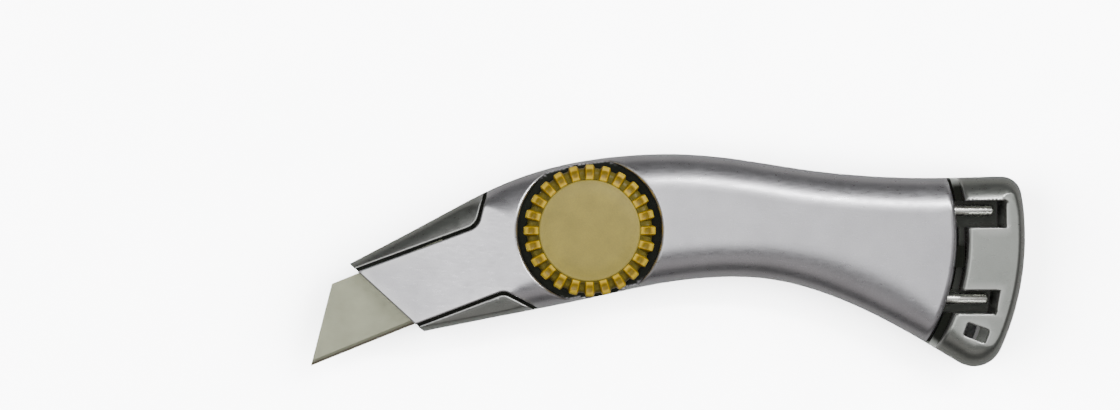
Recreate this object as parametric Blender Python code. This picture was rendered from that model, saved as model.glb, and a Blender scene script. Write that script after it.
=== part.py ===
"""A trimming knife with a two-part die-cast handle, clamped shut by a ribbed thumbwheel.

Blender 4.5, metres, +Z up. The knife lies on its side: X runs from the blade tip to the tail, Y from the belly
to the spine, and the thumbwheel faces +Z. The origin is on the flat outer face of the back shell, under the
axis of the thumbwheel. Run it with: blender --background --python part.py
"""

import math

import bmesh
import bpy
import numpy as np

MM = 0.001

# ---------------------------------------------------------------- outline of the handle, seen from +Z
SPINE_POINTS = np.array([(-82, -17.0), (-66.8, -9.2), (-41.6, 4.1), (-24.9, 12.6), (-8.2, 18.1), (8.4, 20.7),
                         (25.1, 21.3), (41.8, 19.8), (58.4, 17.2), (75.1, 15.4), (91.8, 14.7), (112.5, 15.1)]) * MM
BELLY_POINTS = np.array([(-62, -31.2), (-46, -28.1), (-24.9, -23.9), (0, -18.9), (16.8, -15.3), (37, -13.0),
                         (50.1, -13.6), (66.8, -18.0), (83.4, -25.5), (103.4, -37.1)]) * MM
FRONT_TOP = np.array((-66.8, -9.2)) * MM          # where the slanted front end meets the spine
FRONT_BOTTOM = np.array((-46.0, -28.1)) * MM      # and the belly
TAIL_CENTRE = np.array((46.0, -1.8)) * MM         # the tail's arcs share this centre
TAIL_RADIUS = 75.2 * MM
TAIL_TOP_CORNER = (119.3 * MM, 15.1 * MM, 5.5 * MM)       # x, y, radius
TAIL_BOTTOM_CORNER = (110.1 * MM, -41.1 * MM, 8.0 * MM)
# How far the front face's rounded edge reaches in from the outline: x, then the reach.
SPINE_SOFTNESS = np.array([(-44, 5.0), (-24, 9.0), (0, 10.0), (98, 10.0), (110, 6.0)]) * MM
BELLY_SOFTNESS = np.array([(-30, 6.0), (-10, 10.5), (45, 10.5), (75, 14.0), (86, 13.0), (100, 7.0)]) * MM
TAIL_SOFTNESS = 3.5 * MM
BACK_SOFTNESS_SHARE = 0.55     # the back face is rounded less, by this share

# ---------------------------------------------------------------- heights
PARTING_Z = 11.0 * MM          # where the two shells meet
FRONT_RISE = 10.0 * MM         # of the front shell above the parting plane, at the grip
BACK_RISE = PARTING_Z          # of the back shell below it, down to the rest face
FRONT_NOSE_RISE = 4.6 * MM     # the same at the slanted front end
BACK_NOSE_RISE = 4.8 * MM
TAPER_START_X = -5.0 * MM      # forward of this the handle thins towards the nose
SIDE_BAND = 1.5 * MM           # straight side on each side of the parting plane
SHELL_GAP = 0.1 * MM           # between the two shells at the parting plane

# ---------------------------------------------------------------- grooves between the front shell and the rest
GROOVE = 0.9 * MM
UPPER_GROOVE_CORNER = (-31.2 * MM, 1.3 * MM, 5.0 * MM)     # x, y, radius
UPPER_GROOVE_SLOPE = 0.3655                                # of the run towards the front
UPPER_GROOVE_EXIT_SLOPE = 4.0                              # of the run out through the spine
LOWER_GROOVE_CORNER = (-23.6 * MM, -17.0 * MM, 4.0 * MM)
LOWER_GROOVE_SLOPE = 0.382
LOWER_GROOVE_EXIT_SLOPE = -0.545
FRONT_SHELL_END_RADIUS = 56.2 * MM                         # about the tail's centre
TAIL_BLOCK_RADIUS = 58.8 * MM
LEDGE_Z = PARTING_Z + 2.5 * MM                             # floor of the groove in front of the tail block

# ---------------------------------------------------------------- blade
BLADE_LENGTH = 61.0 * MM
BLADE_BACK_LENGTH = 33.0 * MM
BLADE_WIDTH = 19.0 * MM
BLADE_THICKNESS = 0.65 * MM
BLADE_EDGE_BEVEL = 1.3 * MM
BLADE_EDGE_THICKNESS = 0.1 * MM
BLADE_NOTCH_WIDTH = 2.6 * MM
BLADE_NOTCH_DEPTH = 2.0 * MM
BLADE_NOTCH_OFFSET = 5.5 * MM
BLADE_TIP = np.array((-77.6, -37.7)) * MM
BLADE_ANGLE = math.radians(22.0)
BLADE_CLEARANCE = 0.05 * MM    # above and below the blade
BLADE_SIDE_CLEARANCE = 0.3 * MM
STOP_RADIUS = 1.25 * MM
STOP_SHARES = {"blade_stop_upper": 0.74, "blade_stop_lower": 0.28}   # along the blade's slanted rear end
STOP_DEPTH = 4.0 * MM

# ---------------------------------------------------------------- clamp: stud, nut, washer and thumbwheel
STUD_RADIUS = 4.0 * MM
NUT_ACROSS_FLATS = 13.0 * MM
NUT_HEIGHT = 6.0 * MM
STUD_HEAD_HEIGHT = 5.0 * MM
STUD_HEAD_BOTTOM_Z = 3.0 * MM
RUNNING_CLEARANCE = 0.05 * MM
TILT_CLEARANCE = 0.6 * MM      # round the stud and dowels, where the front shell tips
WEB_THICKNESS = 3.2 * MM       # of the front shell under the thumbwheel
WHEEL_WELL_RADIUS = 20.0 * MM
WASHER_THICKNESS = 1.0 * MM
WASHER_RADIUS = 8.5 * MM
WHEEL_RADIUS = 18.3 * MM
WHEEL_HEIGHT = 7.3 * MM
WHEEL_RIBS = 24
RIB_LENGTH = 3.7 * MM
RIB_SHARE = 0.52               # of the pitch that a rib takes
CAP_RADIUS = 14.1 * MM
CAP_HEIGHT = 1.3 * MM
CAP_STANDS_PROUD = 0.6 * MM
CAP_EDGE = 0.5 * MM
CLAMP_GAP = 0.05 * MM          # between faces that bear on each other
BORE_CLEARANCE = 0.3 * MM      # of the wheel's and washer's bores round the stud
STUD_CHAMFER = 0.8 * MM
RIB_TAPER = 0.86               # of a rib's width that is left at its outer end
BOSS_RADIUS = 10.0 * MM
WELL_RADIUS = 14.5 * MM        # of the ring-shaped hollow round the boss
WELL_FLOOR_Z = 3.0 * MM

# ---------------------------------------------------------------- tail: hinge pins, pockets and windows
HINGE_PIN_RADIUS = 1.5 * MM
HINGE_PIN_Z = PARTING_Z + 3.5 * MM
HINGE_PIN_DEPTH = 4.0 * MM     # pressed into the front shell's end wall
PIN_CHAMFER = 0.3 * MM
HINGE_PINS = {"hinge_pin_upper": (5.6 * MM, 112.2 * MM),    # y, x of the free end
              "hinge_pin_lower": (-18.9 * MM, 110.7 * MM)}
HINGE_AXIS_OFFSET = (0.6 * MM, 0.5 * MM)    # behind the front shell's end, and above the parting plane
POCKET_FLOOR_Z = 8.0 * MM
WINDOW_DEPTH = 7.0 * MM         # of the windows in the back face, which are closed at the pockets' floor
POCKET_DRAFT = 2.4 * MM
UPPER_POCKET = np.array([(99, 0.9), (116.2, 0.9), (116.2, 8.3), (99, 8.3)]) * MM
LOWER_POCKET = np.array([(96, -22.9), (113.4, -22.9), (114.5, -16.5), (96, -16.5)]) * MM
TONGUE_Y = (-10.2 * MM, -4.2 * MM)
TONGUE_REACH = 6.9 * MM        # beyond the front shell's end
TONGUE_THICKNESS = 2.6 * MM
TONGUE_CLEARANCE = 0.5 * MM
TONGUE_LIFT = 0.4 * MM         # of its underside above the front shell's
TONGUE_ROOT = 3.0 * MM         # how far it runs into the shell
WINDOW_INNER_RADIUS = 57.0 * MM
WINDOW_OUTER_RADIUS = 71.0 * MM
UPPER_WINDOW_Y = (-5.4 * MM, 9.4 * MM)
MIDDLE_WINDOW_Y = (-21.8 * MM, -7.8 * MM)
LOWER_WINDOW = np.array([(100.6, -24.2), (111.8, -24.2), (109.4, -31.4), (104.4, -32.2)]) * MM
CORD_HOLE_CENTRE = np.array((105.9, -27.8)) * MM
CORD_HOLE_SIZE = 3.8 * MM
CORD_HOLE_ANGLE = math.radians(-20.0)
CORD_HOLE_RAMP = 2.6 * MM      # the pocket runs on past the hole by this much
CORD_HOLE_RAMP_DEPTH = 3.0 * MM

# ---------------------------------------------------------------- hollow handle and what it holds
WALL_AT_PARTING = 2.6 * MM
WALL_AT_FLOOR = 5.2 * MM       # thicker, because the outer edge is rounded
FLOOR_Z = 2.4 * MM
FRONT_ROOF = 2.4 * MM
HOLLOW_START_X = 24.0 * MM
HOLLOW_END_WALL = 6.0 * MM
HOLLOW_END_DRAFT = 2.0 * MM
HOLLOW_CORNER = 3.0 * MM
SPARE_BLADES = 5
SPARE_PITCH = BLADE_THICKNESS + CLAMP_GAP
SPARE_CENTRE = np.array((57.0, 0.9)) * MM
SPARE_ANGLE = math.radians(-9.0)
POST_CENTRE = np.array((85.5, 3.0)) * MM
POST_RADIUS = 2.8 * MM
POST_HEIGHT = 4.6 * MM
CLIP_THICKNESS = 0.4 * MM
CLIP_WIDTH = 7.0 * MM
CLIP_LENGTH = 28.0 * MM
CLIP_PAD = 7.0 * MM            # length of its flat end on the post
CLIP_PAD_END = 3.2 * MM        # from the screw to the strip's end
CLIP_RAMP = 4.0 * MM
CLIP_TIP = (2.5 * MM, 0.9 * MM)    # length and lift of the turned-up end
SCREW_RADIUS = 1.25 * MM
SCREW_HEAD_RADIUS = 2.6 * MM
SCREW_HEAD_HEIGHT = 1.8 * MM
SCREW_DOME = 0.6               # share of the head's height below its dome, and of its width on top
SCREW_LENGTH = 4.0 * MM
SCREW_END_GAP = 0.3 * MM
DOWEL_RADIUS = 1.25 * MM
DOWEL_DEPTH = 4.0 * MM
DOWEL_STANDS = 2.0 * MM
DOWEL_PLACES = {"dowel_front": np.array((-25.6, 3.2)) * MM, "dowel_rear": np.array((99.2, 0.8)) * MM}
NOSE_POCKET = np.array([(-46.5, -16.0), (-30.0, -10.5), (-26.5, -4.5), (-33.5, -2.5), (-46.5, -9.0)]) * MM
NOSE_POCKET_CORNER = 1.5 * MM
NOSE_POCKET_DEPTH = 3.8 * MM

ABOVE_ALL = 40.0 * MM
FAR_OUT = 60.0 * MM
OVERCUT = 1.0 * MM             # how far a cutter runs past the face it opens
ROUND_STEPS = 40

COLOURS = {  # linear colour, roughness, metallic
    "silver_casting": ((0.52, 0.52, 0.53), 0.38, 0.85),
    "blade_steel": ((0.62, 0.63, 0.58), 0.28, 1.0),
    "bright_steel": ((0.66, 0.66, 0.66), 0.2, 1.0),
    "amber_plastic": ((0.55, 0.38, 0.03), 0.12, 0.0),
    "frosted_amber": ((0.36, 0.31, 0.11), 0.45, 0.0),
}


# ================================================================ curves and loops
def smooth_curve(points):
    """A natural cubic spline through the points, as a function y(x)."""
    x, y = points[:, 0], points[:, 1]
    h = np.diff(x)
    system = np.eye(len(x))
    right = np.zeros(len(x))
    for i in range(1, len(x) - 1):
        system[i, i - 1:i + 2] = h[i - 1], 2 * (h[i - 1] + h[i]), h[i]
        right[i] = 6 * ((y[i + 1] - y[i]) / h[i] - (y[i] - y[i - 1]) / h[i - 1])
    bend = np.linalg.solve(system, right)

    def value(at):
        at = np.asarray(at, float)
        i = np.clip(np.searchsorted(x, at) - 1, 0, len(h) - 1)
        left, back = x[i + 1] - at, at - x[i]
        return ((bend[i] * left**3 + bend[i + 1] * back**3) / (6 * h[i])
                + (y[i] / h[i] - bend[i] * h[i] / 6) * left
                + (y[i + 1] / h[i] - bend[i + 1] * h[i] / 6) * back)
    return value


spine = smooth_curve(SPINE_POINTS)
belly = smooth_curve(BELLY_POINTS)


def arc(centre, radius, start, end, steps):
    """Points on an arc, from angle start to angle end in radians."""
    a = np.linspace(start, end, steps + 1)
    return np.stack([centre[0] + radius * np.cos(a), centre[1] + radius * np.sin(a)], 1)


def rounded_loop(corners, steps=5):
    """A closed loop of (x, y, radius) corners, each with a radius turned into an arc."""
    places = [np.array(c[:2], float) for c in corners]
    loop = []
    for i, corner in enumerate(corners):
        here, before, after = places[i], places[i - 1], places[(i + 1) % len(places)]
        radius = corner[2] if len(corner) > 2 else 0.0
        if radius <= 0:
            loop.append(here)
            continue
        back = (before - here) / np.linalg.norm(before - here)
        on = (after - here) / np.linalg.norm(after - here)
        half = math.acos(max(-1.0, min(1.0, float(back @ on)))) / 2
        middle = here + (back + on) / np.linalg.norm(back + on) * radius / math.sin(half)
        first = here + back * radius / math.tan(half) - middle
        last = here + on * radius / math.tan(half) - middle
        turn = math.atan2(first[0] * last[1] - first[1] * last[0], float(first @ last))
        for a in np.linspace(0, turn, steps + 1):
            c, s = math.cos(a), math.sin(a)
            loop.append(middle + np.array((c * first[0] - s * first[1], s * first[0] + c * first[1])))
    return np.array(loop)


def inward_normals(loop):
    """At each point of a counter-clockwise loop, the unit normal that points inwards."""
    along = np.roll(loop, -1, 0) - np.roll(loop, 1, 0)
    along /= np.linalg.norm(along, axis=1)[:, None]
    return np.stack([-along[:, 1], along[:, 0]], 1)


def moved_edges(corners, distance):
    """The polygon with every edge moved outwards by distance, and its corner radii changed to suit."""
    places = np.array([c[:2] for c in corners], float)
    edge = np.roll(places, -1, 0) - places
    edge /= np.linalg.norm(edge, axis=1)[:, None]
    outward = np.stack([edge[:, 1], -edge[:, 0]], 1)
    moved = []
    for i, corner in enumerate(corners):
        n0, n1 = outward[i - 1], outward[i]
        shift = (n0 + n1) / (1 + float(n0 @ n1)) * distance
        turn = edge[i - 1][0] * edge[i][1] - edge[i - 1][1] * edge[i][0]
        radius = corner[2] + math.copysign(distance, turn) if len(corner) > 2 and corner[2] > 0 else 0.0
        moved.append((places[i][0] + shift[0], places[i][1] + shift[1], max(radius, 0.0)))
    return moved


def turned_about(points, angle, centre):
    """Points turned by angle about the origin, then moved to centre."""
    c, s = math.cos(angle), math.sin(angle)
    points = np.asarray(points, float)
    return np.stack([centre[0] + c * points[:, 0] - s * points[:, 1],
                     centre[1] + s * points[:, 0] + c * points[:, 1]], 1)


def rectangle(x0, x1, y0, y1):
    return np.array([(x0, y0), (x1, y0), (x1, y1), (x0, y1)])


def polygon(radius, sides, first=0.0):
    """A regular polygon with its corners on the radius."""
    return arc((0, 0), radius, first, first + 2 * math.pi * (1 - 1 / sides), sides - 1)


def tail_arc(radius, y_low, y_high, steps=8):
    """The stretch of an arc about the tail's centre between two heights."""
    low, high = (math.asin((y - TAIL_CENTRE[1]) / radius) for y in (y_low, y_high))
    return arc(TAIL_CENTRE, radius, low, high, steps)


# ================================================================ meshes and objects
def mesh_of(points, faces):
    mesh = bpy.data.meshes.new("piece")
    mesh.from_pydata([tuple(map(float, p)) for p in points], [], faces)
    work = bmesh.new()
    work.from_mesh(mesh)
    bmesh.ops.remove_doubles(work, verts=work.verts, dist=1e-7)
    bmesh.ops.recalc_face_normals(work, faces=work.faces)
    work.to_mesh(mesh)
    work.free()
    return mesh


def loft(*sections):
    """A closed solid through loops of equally many points, each given as (loop, z)."""
    count = len(sections[0][0])
    points = [(x, y, z) for loop, z in sections for x, y in loop]
    faces = [tuple(reversed(range(count))), tuple(range(len(points) - count, len(points)))]
    for level in range(len(sections) - 1):
        base = level * count
        for i in range(count):
            j = (i + 1) % count
            faces.append((base + i, base + j, base + count + j, base + count + i))
    return mesh_of(points, faces)


def prism(loop, low, high):
    return loft((loop, low), (loop, high))


def turned(profile, steps=ROUND_STEPS):
    """A solid turned about Z from a closed profile of (radius, z) points."""
    work = bmesh.new()
    verts = [work.verts.new((r, 0, z)) for r, z in profile]
    edges = [work.edges.new((verts[i], verts[(i + 1) % len(verts)])) for i in range(len(verts))
             if verts[i].co.x + verts[(i + 1) % len(verts)].co.x > 1e-9]
    bmesh.ops.spin(work, geom=verts + edges, cent=(0, 0, 0), axis=(0, 0, 1), angle=2 * math.pi, steps=steps,
                   use_duplicate=False)
    bmesh.ops.remove_doubles(work, verts=work.verts, dist=1e-7)
    bmesh.ops.recalc_face_normals(work, faces=work.faces)
    mesh = bpy.data.meshes.new("turned")
    work.to_mesh(mesh)
    work.free()
    return mesh


def rod(radius, low, high, chamfer=0.0, steps=24):
    """An upright pin, with a chamfer at its top."""
    return turned([(0, low), (radius, low), (radius, high - chamfer), (radius - chamfer, high), (0, high)]
                  if chamfer else [(0, low), (radius, low), (radius, high), (0, high)], steps)


def finish(name):
    """The material of that name."""
    if name in bpy.data.materials:
        return bpy.data.materials[name]
    colour, roughness, metallic = COLOURS[name]
    made = bpy.data.materials.new(name)
    made.use_nodes = True
    shader = made.node_tree.nodes["Principled BSDF"]
    shader.inputs["Base Color"].default_value = (*colour, 1.0)
    shader.inputs["Roughness"].default_value = roughness
    shader.inputs["Metallic"].default_value = metallic
    return made


def piece(name, mesh, finish_name, location=(0, 0, 0), turn=(0, 0, 0)):
    """One sub-part of the knife, as an object of its own."""
    mesh.materials.append(finish(finish_name))
    mesh.shade_smooth()
    mesh.set_sharp_from_angle(angle=math.radians(35))
    made = bpy.data.objects.new(name, mesh)
    made.location = location
    made.rotation_euler = turn
    bpy.context.scene.collection.objects.link(made)
    return made


def helper(name, mesh, location=(0, 0, 0), turn=(0, 0, 0)):
    """A shape that cuts or joins a piece and isn't one itself."""
    made = bpy.data.objects.new(name, mesh)
    made.location = location
    made.rotation_euler = turn
    made.hide_render = True
    made.display_type = "WIRE"
    bpy.context.scene.collection.objects.link(made)
    return made


def combine(target, operation, *helpers):
    for other in helpers:
        boolean = target.modifiers.new(other.name, "BOOLEAN")
        boolean.operation = operation
        boolean.solver = "EXACT"
        boolean.object = other


def pivot(name, location):
    """An empty on a joint's axis, which carries the pieces that move with it."""
    made = bpy.data.objects.new(name, None)
    made.location = location
    bpy.context.scene.collection.objects.link(made)
    bpy.context.view_layer.update()
    return made


def carry(parent, *pieces):
    """Parents pieces to a pivot without moving them."""
    for made in pieces:
        made.parent = parent
        made.matrix_parent_inverse = parent.matrix_world.inverted()


# ================================================================ the outer form of the handle
def taper(x):
    """0 along the grip, rising to 1 at the front end, like the curve of a bent beam."""
    t = np.clip((TAPER_START_X - np.asarray(x)) / (TAPER_START_X - FRONT_TOP[0]), 0, 1.15)
    return t * t * (3 - t) / 2


def front_rise(x):
    return FRONT_RISE - (FRONT_RISE - FRONT_NOSE_RISE) * taper(x)


def back_rise(x):
    return BACK_RISE - (BACK_RISE - BACK_NOSE_RISE) * taper(x)


def handle_outline():
    """The handle's outline, counter-clockwise, run on past the front end so that a cut can square it off."""
    along_belly = np.linspace(BELLY_POINTS[0][0], 101 * MM, 30)
    along_spine = np.linspace(SPINE_POINTS[-1][0], SPINE_POINTS[0][0], 34)
    corners = [(x, float(belly(x))) for x in along_belly]
    corners.append(TAIL_BOTTOM_CORNER)
    corners += [tuple(p) for p in tail_arc(TAIL_RADIUS, -33 * MM, 8.5 * MM, 16)]
    corners.append(TAIL_TOP_CORNER)
    corners += [(x, float(spine(x))) for x in along_spine]
    return rounded_loop(corners, 6)


def softness(loop):
    """How far the rounded edge reaches in at each point of the outline."""
    middle = (spine(loop[:, 0]) + belly(loop[:, 0])) / 2
    reach = np.where(loop[:, 1] > middle, np.interp(loop[:, 0], *SPINE_SOFTNESS.T),
                     np.interp(loop[:, 0], *BELLY_SOFTNESS.T))
    at_tail = np.hypot(*(loop - TAIL_CENTRE).T) > TAIL_RADIUS - 0.2 * MM
    reach = np.where(at_tail, TAIL_SOFTNESS, reach)
    for _ in range(3):
        reach = (np.roll(reach, 1) + 2 * reach + np.roll(reach, -1)) / 4
    return reach


def handle_form():
    """The whole handle as one closed solid: rings that follow the outline, and round over onto both faces."""
    loop = handle_outline()
    inward, reach = inward_normals(loop), softness(loop)
    rings = []
    for rise, sign, share in ((back_rise, -1, BACK_SOFTNESS_SHARE), (front_rise, 1, 1.0)):
        side = []
        for angle in np.linspace(0, math.pi / 2, 7):
            at = loop + inward * (reach * share * (1 - math.cos(angle)))[:, None]
            height = SIDE_BAND + (rise(at[:, 0]) - SIDE_BAND) * math.sin(angle)
            side.append(np.column_stack([at, PARTING_Z + sign * height]))
        rings += side[::-1] if sign < 0 else side
    count = len(loop)
    faces = [tuple(reversed(range(count))), tuple(range((len(rings) - 1) * count, len(rings) * count))]
    for level in range(len(rings) - 1):
        base = level * count
        faces += [(base + i, base + (i + 1) % count, base + count + (i + 1) % count, base + count + i)
                  for i in range(count)]
    mesh = mesh_of(np.concatenate(rings), faces)
    work = bmesh.new()
    work.from_mesh(mesh)
    bmesh.ops.triangulate(work, faces=[f for f in work.faces if len(f.verts) > 4], ngon_method="BEAUTY")
    across = FRONT_BOTTOM - FRONT_TOP
    whole = work.verts[:] + work.edges[:] + work.faces[:]
    cut = bmesh.ops.bisect_plane(work, geom=whole, dist=1e-7, plane_co=(*FRONT_TOP, 0),
                                 plane_no=(across[1], -across[0], 0), clear_outer=True)
    bmesh.ops.edgeloop_fill(work, edges=[e for e in cut["geom_cut"] if isinstance(e, bmesh.types.BMEdge)])
    bmesh.ops.recalc_face_normals(work, faces=work.faces)
    work.to_mesh(mesh)
    work.free()
    return mesh


def front_shell_area(grow):
    """Seen from above, what the front shell covers: between the two nose grooves, and back to its end arc.
    It runs out past the spine, the belly and the front end, where the handle's own form ends it."""
    ux, uy, ur = UPPER_GROOVE_CORNER
    lx, ly, lr = LOWER_GROOVE_CORNER
    corners = [
        (lx - FAR_OUT, ly - LOWER_GROOVE_SLOPE * FAR_OUT),
        (lx, ly, lr),
        (lx + FAR_OUT / 2, ly + LOWER_GROOVE_EXIT_SLOPE * FAR_OUT / 2),
        *[tuple(p) for p in tail_arc(FRONT_SHELL_END_RADIUS, -46 * MM, 32 * MM, 16)],
        (ux + FAR_OUT / 2 / UPPER_GROOVE_EXIT_SLOPE, uy + FAR_OUT / 2),
        (ux, uy, ur),
        (ux - FAR_OUT, uy - UPPER_GROOVE_SLOPE * FAR_OUT),
    ]
    return rounded_loop(moved_edges(corners, grow), 6)


def handle_hollow(wall, end_wall, low_x):
    """The loop of the hollow in the grip, a wall's thickness inside the outline."""
    end_radius = FRONT_SHELL_END_RADIUS - end_wall

    def corner(edge, offset):
        x = 90 * MM
        for _ in range(40):
            y = float(edge(x)) + offset
            x = TAIL_CENTRE[0] + math.sqrt(end_radius**2 - (y - TAIL_CENTRE[1])**2)
        return x, y

    low_end, high_end = corner(belly, wall * 1.15), corner(spine, -wall)
    short = 4.5 * MM
    corners = [(x, float(belly(x)) + wall * (1.15 if x > 50 * MM else 1.0))
               for x in np.linspace(low_x, low_end[0] - short, 12)]
    corners[0] = (*corners[0], HOLLOW_CORNER)
    corners.append((*low_end, HOLLOW_CORNER))
    corners += [tuple(p) for p in tail_arc(end_radius, low_end[1] + short, high_end[1] - short, 6)]
    corners.append((*high_end, HOLLOW_CORNER))
    corners += [(x, float(spine(x)) - wall) for x in np.linspace(high_end[0] - short, low_x, 12)]
    corners[-1] = (*corners[-1], HOLLOW_CORNER)
    return rounded_loop(corners, 3)


# ================================================================ the blade
def blade_outline():
    """A trapezoid blade in its own frame: the cutting edge runs along X from the tip at the origin."""
    slant = (BLADE_LENGTH - BLADE_BACK_LENGTH) / 2
    return np.array([(0, 0), (BLADE_LENGTH, 0), (BLADE_LENGTH - slant, BLADE_WIDTH), (slant, BLADE_WIDTH)])


def blade_mesh():
    """The blade, ground to a wedge along its cutting edge and notched twice in its back."""
    front, rear, back_rear, back_front = blade_outline()
    middle = BLADE_LENGTH / 2
    notches = []
    for side in (1, -1):
        at = middle + side * BLADE_NOTCH_OFFSET
        half = BLADE_NOTCH_WIDTH / 2
        notches += [(at + half, BLADE_WIDTH), (at + half, BLADE_WIDTH - BLADE_NOTCH_DEPTH),
                    (at - half, BLADE_WIDTH - BLADE_NOTCH_DEPTH), (at - half, BLADE_WIDTH)]
    share = BLADE_EDGE_BEVEL / BLADE_WIDTH
    loop = [rear + (back_rear - rear) * share, back_rear, *notches, back_front,
            front + (back_front - front) * share]
    count = len(loop)
    thick, thin = BLADE_THICKNESS / 2, BLADE_EDGE_THICKNESS / 2
    points = [(x, y, z) for z in (-thick, thick) for x, y in loop]
    points += [(*front, -thin), (*rear, -thin), (*front, thin), (*rear, thin)]
    f0, r0, f1, r1 = range(2 * count, 2 * count + 4)
    faces = [tuple(reversed(range(count))), tuple(range(count, 2 * count))]
    faces += [(i, i + 1, count + i + 1, count + i) for i in range(count - 1)]
    faces += [(f0, r0, 0, count - 1), (r1, f1, 2 * count - 1, count), (f0, f1, r1, r0),
              (count - 1, 2 * count - 1, f1, f0), (r0, r1, count, 0)]
    return mesh_of(points, faces)


def on_blade(share_length, share_width):
    """A point of the clamped blade, seen from above."""
    return turned_about([(share_length * BLADE_LENGTH, share_width * BLADE_WIDTH)], BLADE_ANGLE, BLADE_TIP)[0]


BLADE_FLOOR_Z = PARTING_Z + SHELL_GAP - 2 * BLADE_CLEARANCE - BLADE_THICKNESS
WEB_TOP_Z = PARTING_Z + WEB_THICKNESS
WASHER_Z = WEB_TOP_Z + CLAMP_GAP
WHEEL_Z = WASHER_Z + WASHER_THICKNESS + CLAMP_GAP
WHEEL_TOP_Z = WHEEL_Z + WHEEL_HEIGHT
CAP_Z = WHEEL_TOP_Z + CAP_STANDS_PROUD - CAP_HEIGHT
STUD_TOP_Z = CAP_Z - 0.3 * MM
FLAP_UNDER_Z = PARTING_Z + SHELL_GAP + TONGUE_THICKNESS + TONGUE_CLEARANCE
POST_TOP_Z = FLOOR_Z + POST_HEIGHT
HEX_RADIUS = NUT_ACROSS_FLATS / math.sqrt(3)


# ================================================================ back shell and what is fixed to it
def blade_stops():
    """Where the two stop pins stand, a clearance behind the blade's slanted rear end."""
    slant = (BLADE_LENGTH - BLADE_BACK_LENGTH) / 2
    away = turned_about([(BLADE_WIDTH, slant)], BLADE_ANGLE, (0, 0))[0]
    away *= (STOP_RADIUS + BLADE_CLEARANCE) / np.linalg.norm(away)
    return {name: on_blade(1 - share * slant / BLADE_LENGTH, share) + away
            for name, share in STOP_SHARES.items()}


def spare_blade_corner():
    """Where the first corner of a spare blade lies, so that its middle is at SPARE_CENTRE."""
    return turned_about([(-BLADE_LENGTH / 2, -BLADE_WIDTH / 2)], SPARE_ANGLE, SPARE_CENTRE)[0]


def window(y_range):
    """A window in the tail's outer face, between two arcs about the tail's centre."""
    inner = tail_arc(WINDOW_INNER_RADIUS, *y_range, 5)
    outer = tail_arc(WINDOW_OUTER_RADIUS, *y_range, 5)
    return np.concatenate([outer, inner[::-1]])


def groove_band(inner, outer, y_low, y_high):
    """The band between two arcs about the tail's centre."""
    return np.concatenate([tail_arc(outer, y_low, y_high, 16), tail_arc(inner, y_low, y_high, 16)[::-1]])


def pocket(loop):
    """A pocket open at the top, whose rear end slopes in as it goes down."""
    bottom = loop.copy()
    bottom[loop[:, 0] > loop[:, 0].mean(), 0] -= POCKET_DRAFT
    return loft((bottom, POCKET_FLOOR_Z), (loop, ABOVE_ALL))


def tail_cuts():
    """What opens up the tail: the groove in front of it, the hinge pins' bay and pockets, and the windows."""
    below = TAIL_CENTRE[1] - TAIL_BLOCK_RADIUS * 0.85
    above = TAIL_CENTRE[1] + TAIL_BLOCK_RADIUS * 0.7
    groove = groove_band(FRONT_SHELL_END_RADIUS - OVERCUT, TAIL_BLOCK_RADIUS, below, above)
    bay = groove_band(FRONT_SHELL_END_RADIUS + GROOVE / 2, TAIL_BLOCK_RADIUS,
                      LOWER_POCKET[0][1], UPPER_POCKET[2][1])
    tongue = rectangle(TAIL_CENTRE[0] + FRONT_SHELL_END_RADIUS - OVERCUT,
                       TAIL_CENTRE[0] + FRONT_SHELL_END_RADIUS + TONGUE_REACH + 2 * TONGUE_CLEARANCE,
                       TONGUE_Y[0] - TONGUE_CLEARANCE, TONGUE_Y[1] + TONGUE_CLEARANCE)
    half = CORD_HOLE_SIZE / 2
    hole = turned_about(rectangle(-half, half, -half, half), CORD_HOLE_ANGLE, CORD_HOLE_CENTRE)
    ramp = turned_about(rectangle(0, half + CORD_HOLE_RAMP, -half, half), CORD_HOLE_ANGLE, CORD_HOLE_CENTRE)
    return [
        helper("cut_tail_groove", prism(groove, LEDGE_Z, ABOVE_ALL)),
        helper("cut_hinge_bay", prism(bay, POCKET_FLOOR_Z, ABOVE_ALL)),
        helper("cut_upper_pocket", pocket(UPPER_POCKET)),
        helper("cut_lower_pocket", pocket(LOWER_POCKET)),
        helper("cut_tongue_space", prism(tongue, PARTING_Z - OVERCUT, FLAP_UNDER_Z)),
        helper("cut_upper_window", prism(window(UPPER_WINDOW_Y), -OVERCUT, WINDOW_DEPTH)),
        helper("cut_middle_window", prism(window(MIDDLE_WINDOW_Y), -OVERCUT, WINDOW_DEPTH)),
        helper("cut_lower_window", prism(LOWER_WINDOW[::-1], -OVERCUT, WINDOW_DEPTH)),
        helper("cut_cord_hole", prism(hole, OVERCUT, ABOVE_ALL)),
        helper("cut_cord_ramp", prism(ramp, PARTING_Z + FRONT_RISE - CORD_HOLE_RAMP_DEPTH, ABOVE_ALL)),
    ]


def clamp_cuts():
    """The ring-shaped hollow round the boss, and the stud's six-sided pocket and hole."""
    ring = turned([(BOSS_RADIUS, WELL_FLOOR_Z), (WELL_RADIUS, WELL_FLOOR_Z),
                   (WELL_RADIUS, PARTING_Z + OVERCUT), (BOSS_RADIUS, PARTING_Z + OVERCUT)])
    head = prism(polygon(HEX_RADIUS + RUNNING_CLEARANCE, 6), STUD_HEAD_BOTTOM_Z - RUNNING_CLEARANCE,
                 STUD_HEAD_BOTTOM_Z + STUD_HEAD_HEIGHT + RUNNING_CLEARANCE)
    hole = rod(STUD_RADIUS + RUNNING_CLEARANCE, STUD_HEAD_BOTTOM_Z + OVERCUT, ABOVE_ALL, 0, ROUND_STEPS)
    return [helper("cut_ring_hollow", ring), helper("cut_stud_head", head), helper("cut_stud_hole", hole)]


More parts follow.
